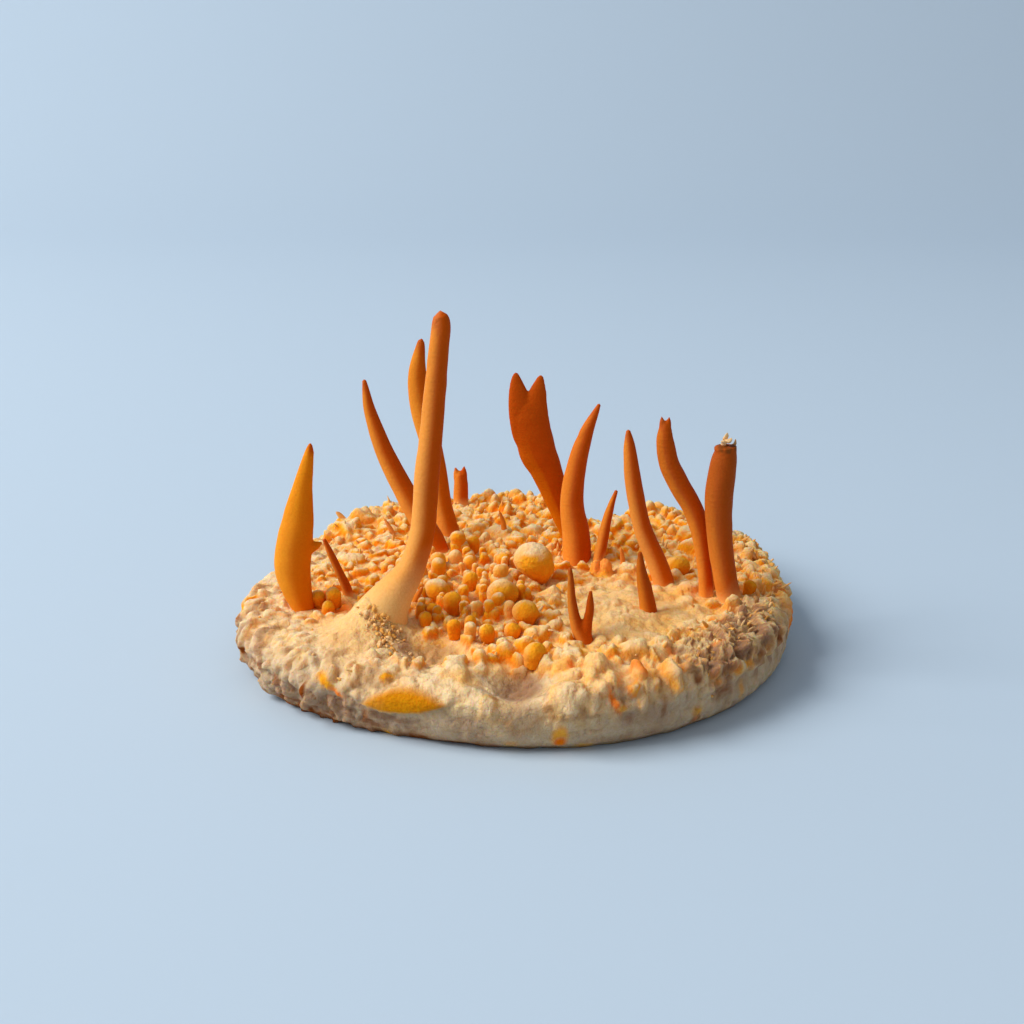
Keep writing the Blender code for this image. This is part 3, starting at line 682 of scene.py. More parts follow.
def fuse_nubs(nubs, bent, out):
    """The nubs' relief at points of the bare skin that noise has bent.

    Nub i adds g = exp(-(d/R)^n) of its height H at a distance d, and they are fused as
    (sum (g H)^p)^(1/p). The sides of each nub are pushed away from its middle above its waist, and
    towards it below. Gives the relief, the largest g, how orange and how cream the nubs are, and
    the push.
    """
    centres, up = skin_place(nubs[:, 0], nubs[:, 1])
    around = np.cross((0, 0, 1), rays(nubs[:, 0]))
    axes = np.cos(nubs[:, 8:]) * around + np.sin(nubs[:, 8:]) * np.cross(around, up)
    raised, share, weight = np.zeros((3, len(bent)))
    habits, pushed = np.zeros((2, len(bent))), np.zeros_like(bent)
    for centre, axis, habit in zip(centres, axes, nubs[:, 2:8]):
        radius, height, pointed, orange, cream, length = habit
        reach = 1.6 * radius * length
        close = np.flatnonzero((np.abs(bent - centre) < reach).all(axis=1))
        apart = bent[close] - centre
        apart -= (1 - 1 / length) * (apart @ axis)[:, None] * axis
        away = np.linalg.norm(apart, axis=1)
        near = np.exp(-(away / (0.88 * radius)) ** (2.8 - 1.2 * pointed))
        fused = near ** NUB_FUSE
        raised[close] += fused * height ** NUB_FUSE
        share[close] = np.maximum(share[close], near)
        weight[close] += fused
        habits[:, close] += fused * np.array((orange, cream))[:, None]
        bulge = NUB_BULGE * (1 - pointed) * min(height, 1.6 * radius) * 0.6
        push = fused * bulge * near * (1 - near) * 4 * (near - NUB_WAIST) / away
        pushed[close] += push[:, None] * apart
    orange, cream = habits / np.maximum(weight, 1e-9)
    pushed /= np.maximum(weight, 1e-9)[:, None]
    pushed -= np.sum(pushed * out, axis=1)[:, None] * out
    return raised ** (1 / NUB_FUSE), share, orange, cream, pushed


def cake_skin(nubs):
    """The cake's skin: points, faces and masks of the top, the wall and the flat underside.

    A point is its bare place, plus the way out times the relief of the nubs, the puffs between
    creases, the torn lip and the wall's roughness, plus the nubs' push. The underside runs from
    the last row to one point at the middle.
    """
    angle, way, quads, rows = skin_grid()
    bare, out = skin_place(angle, way)
    bent = bare + 0.6 * MM * shift(bare, 2.2 * MM, 20) + 0.3 * MM * shift(bare, 0.9 * MM, 24)
    raised, share, orange, cream, pushed = fuse_nubs(nubs, bent, out)

    zone = regions(angle, way)
    on_wall = smooth(0, 3 * MM, -way)
    floor = np.clip(bare[:, 2] / (2.5 * MM), 0, 1)
    left = arc(angle, -172, 42, 16) + 0.5 * arc(angle, 90, 70, 20)
    ridged = arc(angle, -25, 38, 16) * on_wall
    rough = left * smooth(-1 * MM, 2 * MM, 7 * MM - way)
    leaf = leaf_share(angle, way)
    crease = np.abs(soft_noise(bent, 1.5 * MM, 30))
    puff = crease + (0.5 - 0.3 * zone["back"]) * np.abs(soft_noise(bare, 0.8 * MM, 31)) - 0.36
    smooth_skin = np.maximum.reduce((mound(bare[:, 0], bare[:, 1], -24, -24, 6.5, 7),
                                     0.8 * mound(bare[:, 0], bare[:, 1], -8, -38, 6, 3),
                                     0.9 * mound(bare[:, 0], bare[:, 1], -1, -41.5, 5, 3.5)))
    puffs = sum(rise * zone[name] for name, rise in PUFFS.items())
    puffs *= (1 - 0.5 * on_wall * (1 - left)) * (1 - smooth_skin)
    lip = arc(angle, -42, 30, 14)
    torn = arc(angle, -38, 13, 12) * smooth(-1.5 * MM, 0.5 * MM, way)
    torn *= 1 - smooth(4.5 * MM, 7 * MM, way)
    crack = torn * (1 - smooth(0.02, 0.10, np.abs(soft_noise(bent * (1, 1, 0.3), 1.7 * MM, 17))))
    raised += MM * floor * (puffs * puff - 0.5 * crack)
    raised += MM * lip * np.exp(-(way / (1.1 * MM)) ** 2) * (0.5 + 0.5 * soft_noise(bare, 1.6 * MM, 16))
    raised += MM * floor * (0.45 * on_wall * soft_noise(bare, 6 * MM, 6)
                            + (0.10 + 0.30 * rough) * soft_noise(bare, 2.2 * MM, 7)
                            + (0.04 + 0.22 * rough) * soft_noise(bare, 1.0 * MM, 8)
                            + 0.16 * ridged * soft_noise(bare * (1, 1, 0.12), 1.1 * MM, 9))
    raised *= (1 - 0.2 * arc(angle, -170, 24, 12)
               - 0.45 * arc(angle, -10, 14, 10) * smooth(-3 * MM, 0, -way))
    raised = (1 - leaf) * raised + LEAF_RISE * leaf
    tuck = 1 - smooth(0, FOOT_ROUND, bare[:, 2])
    raised -= tuck * on_wall * (FOOT_TUCK + 0.3 * MM * soft_noise(bare, 2 * MM, 13))
    points = bare + raised[:, None] * out + (1 - leaf)[:, None] * pushed

    square = point_normals(points, quads)
    side = 1 - smooth(0.55, 0.96, np.sum(square * out, axis=1))
    # Faces turned to the front, out of the key light, get more orange and deep orange: painted shade.
    front = 0.6 + 0.4 * smooth(-0.5, 0.4, square @ (0.3, -0.95, 0.0))
    share = share + 0.10 * soft_noise(bare, 0.9 * MM, 40)
    patchy, spotty = soft_noise(bare, 4 * MM, 10), soft_noise(bare, 1.6 * MM, 12)
    streaky = soft_noise(bare * (1, 1, 0.2), 1.2 * MM, 15)
    bottom = 1 - smooth(0.4 * MM, 2.0 * MM, bare[:, 2] + 0.8 * MM * soft_noise(bare, 2 * MM, 14))
    # Low ground between the nubs and the creases get more mauve, orange and deep orange: painted shade.
    between = 1 - smooth(0.05, 0.35, share)
    crease = 1 - smooth(0.01, 0.14, crease)
    pale = np.clip(zone["cream"] + zone["grain"] + 0.6 * zone["shred"] + 0.5 * zone["teeth"]
                   + 0.25 * zone["back"], 0, 1)
    vivid = (zone["back"] + 0.7 * zone["columns"] + 0.7 * zone["shred"] + 0.5 * zone["teeth"]
             + 0.25 * zone["plateau"])
    # The band just under the right lip gets the wall tone, mauve and rust: painted shade under the lip.
    lip *= smooth(-1.5 * MM, 0.3 * MM, -way) * (1 - smooth(3.0 * MM, 5.0 * MM, -way))
    flank = orange * side * front * (1 - smooth(0.6, 0.97, share))
    masks = {
        "cream": 0.3 * puff + np.maximum(cream * smooth(0.45, 0.85, share) * (1 - 0.7 * side),
                                         0.9 * pale * between),
        # Orange and deep orange: the nubs' own orange flanks and patches, with painted shade in the
        # creases, between the nubs and on the faces turned to the front.
        "orange": (np.maximum.reduce((1.4 * flank * smooth(0.03, 0.2, share), 0.75 * crease * vivid,
                                      0.3 * between * zone["back"]))
                   + 0.3 * smooth(0.1, 0.6, patchy) * (1 - pale)) * (1 - on_wall) * (1 - smooth_skin)
                  * (1 - 0.5 * torn),
        "deep": np.maximum(flank ** 1.2 * (1 - smooth(0.25, 0.6, share)) * smooth(0.02, 0.12, share),
                           0.35 * crease * side * vivid) * (1 - on_wall) * (1 - smooth_skin),
        # The wall tone also darkens the left rim, the left wall and the band under the right lip:
        # painted shade.
        "wall": np.maximum(smooth(0.3 * MM, 5.0 * MM, 1.2 * MM * patchy - way), 0.2 * zone["grain"])
                + 0.8 * left * smooth(-2 * MM, 2 * MM, -way) + 0.6 * lip,
        # Mauve: painted shade between the nubs, on the sides of pale nubs, in creases and cracks, on
        # the faces of the torn bits, under the right lip and on the left wall, over a mottling of the
        # wall.
        "mauve": between * 0.25 * zone["columns"] * smooth(-0.1, 0.3, patchy)
                 + on_wall * (0.2 + 0.4 * soft_noise(bare, 5 * MM, 11)) + 0.5 * side * pale * between
                 + 0.3 * crease * pale + lip * (0.15 + 0.35 * streaky) + 0.9 * crack
                 + torn * (0.2 + 0.8 * side)
                 + 0.35 * left * smooth(1 * MM, 4 * MM, -way),
        # Rust: brown spots of the wall and the left rim, with painted shade in the creases of the left
        # wall and under the right lip, and a band along the foot that is a painted contact shadow and,
        # at the left front, brown crumbs as well.
        "rust": 0.8 * smooth(0.35, 0.7, spotty) * on_wall * (0.15 + left)
                + 0.75 * bottom * on_wall * (0.4 + 0.6 * arc(angle, -130, 30, 12))
                + 0.4 * lip * smooth(0.3, 0.6, streaky) + 0.4 * crease * left * on_wall
                + 0.5 * zone["grain"] * smooth(0.35, 0.6, spotty),
    }
    masks = {name: np.clip(values, 0, 1) for name, values in masks.items()}
    masks = paint(masks, bare, angle, way)

    points = np.vstack((points, ((0.0, 0.0, 0.0),)))
    masks = {name: np.append(values, 0.5) for name, values in masks.items()}
    last = rows[-1]
    under = np.column_stack((last, np.full(len(last), len(points) - 1), np.roll(last, -1)))
    return points, quads.tolist() + under.tolist(), masks


def pebble_points(centres, sizes, turns, bend, rings, around):
    """Long rounded pebbles: x = a cos v, y = b sin v cos u and z = c sin v sin u, bent by a
    parabola in x, turned by a matrix each and put on their centres."""
    v = np.linspace(math.pi, 0, rings + 2)[1:-1]
    u = ring_angles(around)
    cos, sin = np.cos(v)[:, None], np.sin(v)[:, None]
    ball = np.stack((cos + 0 * u, sin * np.cos(u), sin * np.sin(u)), axis=-1).reshape(-1, 3)
    ball = np.vstack((ball, ((-1, 0, 0), (1, 0, 0))))[None]
    shape = ball * sizes[:, None]
    shape[:, :, 2] += bend[:, None] * ball[:, :, 0] ** 2
    return (np.einsum("nij,nkj->nki", turns, shape) + centres[:, None]).reshape(-1, 3)


def bulb_points(feet, tops, radii, stems):
    """Round bulbs on tapered stems. With v from -90 to 90 degrees, R the radius, H the height and the
    share s = 1 - 0.9 R / H, a ring is at the height h = s + s sin v below the widest ring and
    h = s + (1 - s) sin v above it, and its centre is foot + top h, with the lean all taken up by the
    widest ring. With k the stem's share, its radius is R (k + (1 - k) sin(90 (1 + sin v))) below and
    R cos v above. Gives the points, with the two poles last, and sin v and the turn of each."""
    v = np.linspace(-math.pi / 2, math.pi / 2, BULB_RINGS + 1)[:-1]
    widest = np.clip(1 - 0.9 * radii / tops[:, 2], 0.4, 0.85)[:, None]
    rise = widest + np.where(v < 0, widest, 1 - widest) * np.sin(v)
    stems = stems[:, None]
    taper = np.sin(math.pi / 2 * (1 + np.sin(v)))
    width = radii[:, None] * np.where(v < 0, stems + (1 - stems) * taper, np.cos(v))
    u = ring_angles(BULB_SIDES)
    lean = np.minimum(rise / widest, 1)
    reach = np.stack((lean, lean, rise), axis=-1)[:, :, None]
    points = feet[:, None, None] + width[:, :, None, None] * rays(u) + reach * tops[:, None, None]
    points = np.concatenate((points.reshape(len(feet), -1, 3), feet[:, None], (feet + tops)[:, None]),
                            axis=1)
    level = np.append(np.repeat(np.sin(v), len(u)), (-1.0, 1.0))
    turn = np.append(np.tile(u, len(v)), (0.0, 0.0))
    return points.reshape(-1, 3), np.tile(level, len(feet)), np.tile(turn, len(feet))


def facing(normals, random, sway, aside=None):
    """Turning matrices whose third axis is near the normals, with the first square to aside."""
    third = unit(normals + random.normal(0, sway, normals.shape))
    first = unit(np.cross(third, random.normal(0, 1, normals.shape) if aside is None else aside))
    return np.stack((first, np.cross(third, first), third), axis=-1)


def strand_points(starts, ahead, curl, lengths, widths, rings, around):
    """Thin strands: start + L (t ahead + t^2 curl), with the radius 0.95 w (1 - t^2)^0.5 + 0.05 w
    round it, for t from 0 to 1. The two poles of each strand come last. Gives the points and t."""
    ahead = unit(ahead)
    side = unit(np.cross(ahead, (0.31, 0.83, 0.46)))
    back = np.cross(ahead, side)
    t = np.linspace(0, 1, rings)[None, :, None]
    path = starts[:, None] + lengths[:, None, None] * (t * ahead[:, None] + t * t * curl[:, None])
    u = ring_angles(around)[None, :, None]
    circle = side[:, None] * np.cos(u) + back[:, None] * np.sin(u)
    widths = widths[:, None, None]
    radius = widths * (0.95 * np.sqrt(1 - t * t) + 0.05)
    points = (path[:, :, None] + radius[..., None] * circle[:, None]).reshape(len(starts), -1, 3)
    step = widths * ahead[:, None]
    points = np.concatenate((points, path[:, :1] - 0.5 * step, path[:, -1:] + 0.1 * step), axis=1)
    rise = np.tile(np.append(np.repeat(t, around), (0, 1)), len(starts))
    return points.reshape(-1, 3), rise


class Finish:
    """A Principled material built up from layers of colour, in Object coordinates."""

    def __init__(self, name, colour, roughness, subsurface=0.0, scatter=2.0 * MM):
        self.material = bpy.data.materials.new(name)
        self.material.use_nodes = True
        self.tree = self.material.node_tree
        self.shader = self.tree.nodes["Principled BSDF"]
        self.material.diffuse_color = (*colour, 1.0)
        for socket, value in (("Roughness", roughness), ("Subsurface Weight", subsurface),
                              ("Subsurface Radius", (1.0, 0.4, 0.1)), ("Subsurface Scale", scatter),
                              ("Specular IOR Level", 0.05)):
            self.shader.inputs[socket].default_value = value
        self.coordinates = self.node("ShaderNodeTexCoord").outputs["Object"]
        self.colour = (*colour, 1.0)
        self.normal = None

    def node(self, kind, **inputs):
        """A new node with its inputs set from numbers or linked from sockets."""
        made = self.tree.nodes.new(kind)
        for name, value in inputs.items():
            self.join(value, made.inputs[name.replace("_", " ")])
        return made

    def join(self, value, socket):
        """Link a socket to another, or set it to a number or a vector."""
        if isinstance(value, bpy.types.NodeSocket):
            self.tree.links.new(value, socket)
        else:
            socket.default_value = value

    def mask(self, name):
        """The socket of one of the piece's own masks."""
        made = self.node("ShaderNodeAttribute")
        made.attribute_name = name
        return made.outputs["Fac"]

    def noise(self, size, detail=3.0, stretch=(1.0, 1.0, 1.0), most=1.0):
        """Noise whose features are about size wide, spread over 0 to most."""
        mapped = self.node("ShaderNodeMapping", Vector=self.coordinates, Scale=stretch).outputs[0]
        made = self.node("ShaderNodeTexNoise", Vector=mapped, Scale=1 / size, Detail=detail)
        made = self.node("ShaderNodeMapRange", Value=made.outputs["Fac"], From_Min=0.35,
                         From_Max=0.65, To_Max=most)
        made.interpolation_type = "SMOOTHSTEP"
        return made.outputs[0]

    def layer(self, colour, share, blend="MIX"):
        """Lay a colour over what is there, by a share that is a number or a socket."""
        made = self.tree.nodes.new("ShaderNodeMix")
        made.data_type = "RGBA"
        made.blend_type = blend
        self.join(share, made.inputs[0])
        self.join(self.colour, made.inputs[6])
        made.inputs[7].default_value = (*colour, 1.0)
        self.colour = made.outputs[2]

    def layers(self, colours, **masks):
        """Lay one colour after another, each by the mask that goes with it."""
        for mask, colour in masks.items():
            self.layer(getattr(colours, colour), self.mask(mask))

    def bump(self, height, depth):
        """Raise the surface by a height from 0 to 1 times depth."""
        under = {} if self.normal is None else {"Normal": self.normal}
        bump = self.node("ShaderNodeBump", Height=height, Distance=depth, Strength=1.0, **under)
        self.normal = bump.outputs[0]

    def done(self):
        """Join the colour and the bumps to the shader, and give the material."""
        self.join(self.colour, self.shader.inputs["Base Color"])
        if self.normal is not None:
            self.join(self.normal, self.shader.inputs["Normal"])
        return self.material


def skin_finish(colours, name, subsurface, scatter):
    """Mycelium skin: peach, with cream, wall, orange, deep orange, mauve and rust where the masks say;
    the mauve is mostly painted shade, and the wall, orange, deep orange and rust hold some as well.
    """
    skin = Finish(name, colours.peach, 0.8, subsurface, scatter)
    skin.layers(colours, cream="cream", wall="wall", orange="orange", deep="deep_orange", leaf="leaf",
                mauve="mauve", rust="rust")
    skin.layer((0.94, 0.84, 0.68), skin.noise(2.5 * MM, most=0.5), "MULTIPLY")
    skin.layer((0.88, 0.74, 0.55), skin.noise(0.5 * MM, detail=4.0, most=0.35), "MULTIPLY")
    skin.bump(skin.noise(0.8 * MM), 0.10 * MM)
    skin.bump(skin.noise(0.3 * MM, detail=2.0), 0.04 * MM)
    return skin.done()


def club_finish(colours):
    """Club flesh: pale at the foot, with painted light on the lit side, deeper by its mask, which also
    holds painted shade on the side away from the light, and brown where it broke.
    """
    club = Finish("club_flesh", colours.club_orange, 0.55, subsurface=0.12, scatter=0.8 * MM)
    club.layers(colours, deep="club_deep")
    club.layer(colours.club_deep, club.noise(2.5 * MM, stretch=(1, 1, 0.3), most=0.2))
    club.layers(colours, pale="club_foot", scar="rust")
    club.layer((0.92, 0.80, 0.60), club.noise(0.35 * MM, most=0.35), "MULTIPLY")
    club.bump(club.noise(0.35 * MM, detail=2.0), 0.02 * MM)
    club.bump(club.noise(1.0 * MM, stretch=(0.3, 0.3, 2.4)), 0.02 * MM)
    return club.done()


def tuft_finish(colours):
    """Tufts, crumbs and torn bits: straw, with cream, orange and rust where the masks say."""
    if "dry_tufts" in bpy.data.materials:
        return bpy.data.materials["dry_tufts"]
    tuft = Finish("dry_tufts", colours.tuft, 0.8)
    tuft.layers(colours, cream="cream", orange="orange", rust="rust")
    tuft.layer((0.85, 0.74, 0.6), tuft.noise(0.6 * MM, most=0.5), "MULTIPLY")
    tuft.bump(tuft.noise(0.3 * MM), 0.05 * MM)
    return tuft.done()


def colour_property(name, description, default):
    """A colour setting."""
    return bpy.props.FloatVectorProperty(name=name, description=description, default=default,
                                         subtype="COLOR", size=3, min=0.0, max=1.0)


class BunchColours(bpy.types.PropertyGroup):
    """Colours of the bunch and its stage."""
    peach: colour_property("Peach", "Skin of the cake and tops of the nubs", (0.97, 0.61, 0.26))
    cream: colour_property("Cream", "Palest skin at the rim", (0.95, 0.73, 0.44))
    # Wall also lays painted shade on the left rim and wall and under the right lip.
    wall: colour_property("Wall", "Smooth skin of the wall", (0.64, 0.49, 0.33))
    # Orange and deep orange also lay painted shade in the creases, between the nubs and on faces turned
    # to the front.
    orange: colour_property("Orange", "Sides of the nubs", (0.95, 0.41, 0.018))
    deep_orange: colour_property("Deep orange", "Feet of the nubs", (0.95, 0.21, 0.003))
    leaf: colour_property("Leaf patch", "The leaf-shaped patch of the wall", (0.74, 0.28, 0.003))
    # Mauve is mostly painted shade: hollows, creases, cracks, sides of pale nubs and under the lip.
    mauve: colour_property("Mauve", "Bare skin between the nubs", (0.34, 0.19, 0.11))
    # Rust is also painted shade: creases of the left wall, under the right lip, a shadow line at the
    # front and a contact shadow along the foot.
    rust: colour_property("Rust", "Brown spots of the wall", (0.24, 0.06, 0.008))
    club_orange: colour_property("Club orange", "Body of the clubs", (0.99, 0.33, 0.004))
    # Club deep also lays painted shade on the side of each club away from the light.
    club_deep: colour_property("Club deep", "Tips and streaks of the clubs", (0.58, 0.085, 0.001))
    # Club foot also lays painted light on the side of each club that faces the lamp.
    club_foot: colour_property("Club foot", "Pale foot and lit side of the clubs", (0.96, 0.56, 0.20))
    tuft: colour_property("Tuft", "Tufts, crumbs and torn bits", (0.95, 0.57, 0.23))
    floor: colour_property("Floor", "Plain floor", (0.525, 0.645, 0.775))


class BunchSizes(bpy.types.PropertyGroup):
    """Sizes and numbers of the small pieces."""
    tuft_length: bpy.props.FloatProperty(
        name="Tuft length", description="Length of the longest tufts", default=1.3 * MM,
        min=0.5 * MM, max=4 * MM, unit="LENGTH", subtype="DISTANCE")
    tuft_count: bpy.props.IntProperty(
        name="Tufts", description="Tufts of mycelium on the top", default=520, min=0, max=3500)
    flake_count: bpy.props.IntProperty(
        name="Flakes", description="Torn bits that stand along the right of the rim", default=34,
        min=0, max=800)
    crumb_count: bpy.props.IntProperty(
        name="Crumbs", description="Crumbs by the foot of the tall club", default=380, min=0, max=800)


class BUNCH_OT_cake(bpy.types.Operator):
    """Make the cake's skin and its nubs"""
    bl_idname = "bunch.cake"
    bl_label = "Cake and nubs"

    def execute(self, context):
        colours = context.scene.bunch_colours
        skin = skin_finish(colours, "mycelium_skin", 0.5, 1.5 * MM)
        nubs = spread_nubs()
        big = np.array(BIG_LUMPS) * ((MM,) * 5 + (1, 1, 1))
        lumps = np.column_stack((*top_way(big[:, 0], big[:, 1]), 1.15 * big[:, 3], big[:, 4:],
                                 np.ones(len(big)), np.zeros(len(big))))
        points, faces, masks = cake_skin(np.vstack((nubs, lumps)))
        put_mesh("cake_skin", points, faces, masks, skin, CAKE_SLOT, "substrate_cake")
        self.bulbs(nubs, skin_finish(colours, "bulb_skin", 0.3, 0.8 * MM))
        return {"FINISHED"}

    def bulbs(self, nubs, skin):
        """Put the round bulbs on: those of the table, and one over each of the tallest nubs."""
        nubs = nubs[regions(nubs[:, 0], nubs[:, 1])["columns"] > 0.5]
        nubs = nubs[np.argsort(-nubs[:, 3])[:BULB_COUNT]]
        table = np.array(BULBS) * ((MM,) * 5 + (1, 1, 1))
        places, _ = skin_place(nubs[:, 0], nubs[:, 1])
        x, y = np.append(table[:, 0], places[:, 0]), np.append(table[:, 1], places[:, 1])
        feet = np.column_stack((x, y, top_height(x, y) - 0.3 * MM))
        radii = np.append(table[:, 3], 0.66 * nubs[:, 2])
        random = np.random.default_rng(BULB_SEED)
        tops = np.column_stack((np.append(table[:, 2], random.normal(0, 0.25 * MM, len(nubs))),
                                random.normal(0, 0.2 * MM, len(x)),
                                np.append(table[:, 4], nubs[:, 3] + 0.7 * nubs[:, 2] + 0.4 * MM)))
        stems = np.append(table[:, 7], np.full(len(nubs), SMALL_STEM))
        points, level, turn = bulb_points(feet, tops, radii, stems)
        points = points + 0.18 * MM * shift(points, 1.5 * MM, 82)
        each = BULB_RINGS * BULB_SIDES + 2
        orange = np.repeat(np.append(table[:, 5], nubs[:, 5]), each)
        cream = np.repeat(np.append(table[:, 6], nubs[:, 6]), each)
        level = level + 0.35 * soft_noise(points, 1.2 * MM, 81)
        # The orange and deep orange are stronger on the side turned to the front right, away from the
        # light: painted shade, except on bulbs with little cream, which are orange all round.
        front = np.maximum(0.2 + smooth(-0.5, 0.6, np.cos(turn + math.radians(55))), 1 - cream)
        masks = {"cream": cream * smooth(0.2, 0.8, level),
                 "orange": orange * front * (1 - smooth(0.25, 0.95, level - 0.9 * (1 - cream))),
                 "deep": 0.5 * orange * front * (1 - smooth(-0.7, 0.3, level - 0.7 * (1 - cream)))}
        faces = tube_faces(len(feet), BULB_RINGS, BULB_SIDES)
        put_mesh("round_bulbs", points, faces, masks, skin, CAKE_SLOT)


class BUNCH_OT_tufts(bpy.types.Operator):
    """Make the tufts of mycelium that stand on the cake's skin"""
    bl_idname = "bunch.tufts"
    bl_label = "Tufts"

    def execute(self, context):
        sizes = context.scene.bunch_sizes
        skin = bpy.data.objects["cake_skin"].data
        places, normals = rows_of(skin.vertices, "co"), rows_of(skin.vertex_normals, "vector")
        angle, way = top_way(places[:, 0], places[:, 1])
        zone = regions(angle, np.maximum(way, 0))
        weight = 0.3 * zone["back"] + 0.9 * zone["shred"] + 0.1 * zone["grain"]
        rim_way = np.where(np.abs(np.cos(angle)) > 0.6, 0.9, -0.5) * MM
        weight *= (places[:, 2] > 4 * MM) * (way > rim_way)
        for x, y, _, radius in CLEARINGS:
            weight *= smooth(radius - 1, radius, np.hypot(places[:, 0] / MM - x, places[:, 1] / MM - y))
        random = np.random.default_rng(TUFT_SEED)
        chosen = random.choice(len(places), sizes.tuft_count, p=weight / weight.sum())
        places, normals = places[chosen], normals[chosen]
        count = len(chosen)
        ahead = 0.7 * normals + (0, 0, 0.5) + random.normal(0, 0.35, (count, 3))
        lengths = sizes.tuft_length * (0.35 + 0.65 * random.random(count) ** 2)
        widths = random.uniform(0.16, 0.34, count) * MM
        curl = random.normal(0, 0.25, (count, 3))
        points, rise = strand_points(places - 0.2 * MM * normals, ahead, curl, lengths, widths,
                                     TUFT_RINGS, TUFT_RINGS)
        luck = np.repeat(random.random(count), TUFT_RINGS ** 2 + 2)
        masks = {"cream": 0.8 * luck * rise, "orange": (1 - luck) * (1 - 0.7 * rise), "rust": 0 * rise}
        finish = tuft_finish(context.scene.bunch_colours)
        faces = tube_faces(count, TUFT_RINGS, TUFT_RINGS)
        put_mesh("top_tufts", points, faces, masks, finish, CAKE_SLOT)
        return {"FINISHED"}


class BUNCH_OT_bits(bpy.types.Operator):
    """Make the torn flakes, crumbs, sprouts and the scraps on the broken tip"""
    bl_idname = "bunch.bits"
    bl_label = "Flakes, crumbs and sprouts"

    def execute(self, context):
        sizes = context.scene.bunch_sizes
        self.finish = tuft_finish(context.scene.bunch_colours)
        self.random = random = np.random.default_rng(BIT_SEED)
        count = sizes.flake_count
        angle = np.radians(random.uniform(*FLAKE_ARC, count))
        places, _ = skin_place(angle, random.uniform(0.2, 3.6, count) * MM)
        ray = rays(angle)
        flake_sizes = random.uniform(*FLAKE_SIZES, (count, 3)) * MM
        aside = np.cross((0, 0, 1), ray) + random.normal(0, 0.3, (count, 3))
        turns = facing(ray, random, 0.35, aside)
        bend = random.uniform(-0.4, 0.4, count) * MM
        points = pebble_points(places + (0, 0, 0.9 * MM), flake_sizes, turns, bend, 5, 8)
        self.put("rim_flakes", points, 5, 8, 0.35 * MM, 0.15, 0.35, CAKE_SLOT)

        count = sizes.crumb_count
        along = random.uniform(-1.1, 1.6, count)
        x = (CRUMB_PLACE[0] + CRUMB_RUN[0] * along + random.normal(0, 1.3, count)) * MM
        y = (CRUMB_PLACE[1] + CRUMB_RUN[1] * along + random.normal(0, 1.0, count)) * MM
        size = (0.14 + 0.24 * random.random(count) ** 2) * MM
        z = top_height(x, y) - 0.25 * size + 0.3 * MM * random.uniform(0, 1, count) ** 2
        crumb_sizes = size[:, None] * random.uniform(0.6, 1.6, (count, 3))
        turns = facing(np.tile((0.0, 0.0, 1.0), (count, 1)), random, 0.8)
        points = pebble_points(np.column_stack((x, y, z)), crumb_sizes, turns, np.zeros(count), 3, 6)
        self.put("foot_crumbs", points, 3, 6, 0.3 * MM, 0.1, 0.4, CAKE_SLOT)

        scraps = np.array(SCRAPS) * MM
        turns = facing(random.normal(0, 1, (len(scraps), 3)), random, 0.2)
        points = pebble_points(scraps[:, :3], scraps[:, 3:6], turns, scraps[:, 3] * 0.5, 6, 9)
        self.put("tip_scrap", points, 6, 9, 0.2 * MM, 0.1, 0.0, CLUB_SLOT)

        sprouts = np.array(SPROUTS)
        x, y = sprouts[:, 0] * MM, sprouts[:, 1] * MM
        places = np.column_stack((x, y, top_height(x, y)))
        points, rise = strand_points(places, np.column_stack((sprouts[:, 2:4], np.ones(len(sprouts)))),
                                     random.normal(0, 0.15, (len(sprouts), 3)), sprouts[:, 4] * MM,
                                     sprouts[:, 5] * MM, SPROUT_RINGS, SPROUT_RINGS)
        pale = np.repeat(sprouts[:, 6], SPROUT_RINGS ** 2 + 2)
        masks = {"pale": pale + 0.4 * (1 - smooth(0, 0.4, rise)),
                 "deep": 0.3 + 0.4 * rise, "scar": 0 * rise}
        faces = tube_faces(len(sprouts), SPROUT_RINGS, SPROUT_RINGS)
        put_mesh("small_sprouts", points, faces, masks, club_finish(context.scene.bunch_colours),
                 CLUB_SLOT)
        return {"FINISHED"}

    def put(self, name, points, rings, around, ragged, rusty, tinted, slot):
        """Put pebbles roughened by ragged into the scene: a share of them rusty, a share orange."""
        each = rings * around + 2
        points = points + ragged * shift(points, 0.7 * MM, 61)
        luck, other = np.repeat(self.random.random((2, len(points) // each)), each, axis=1)
        masks = {"cream": 0.5 * other, "orange": 0.6 * (luck > 1 - tinted),
                 "rust": 0.6 * (luck < rusty)}
        put_mesh(name, points, tube_faces(len(points) // each, rings, around), masks, self.finish, slot)


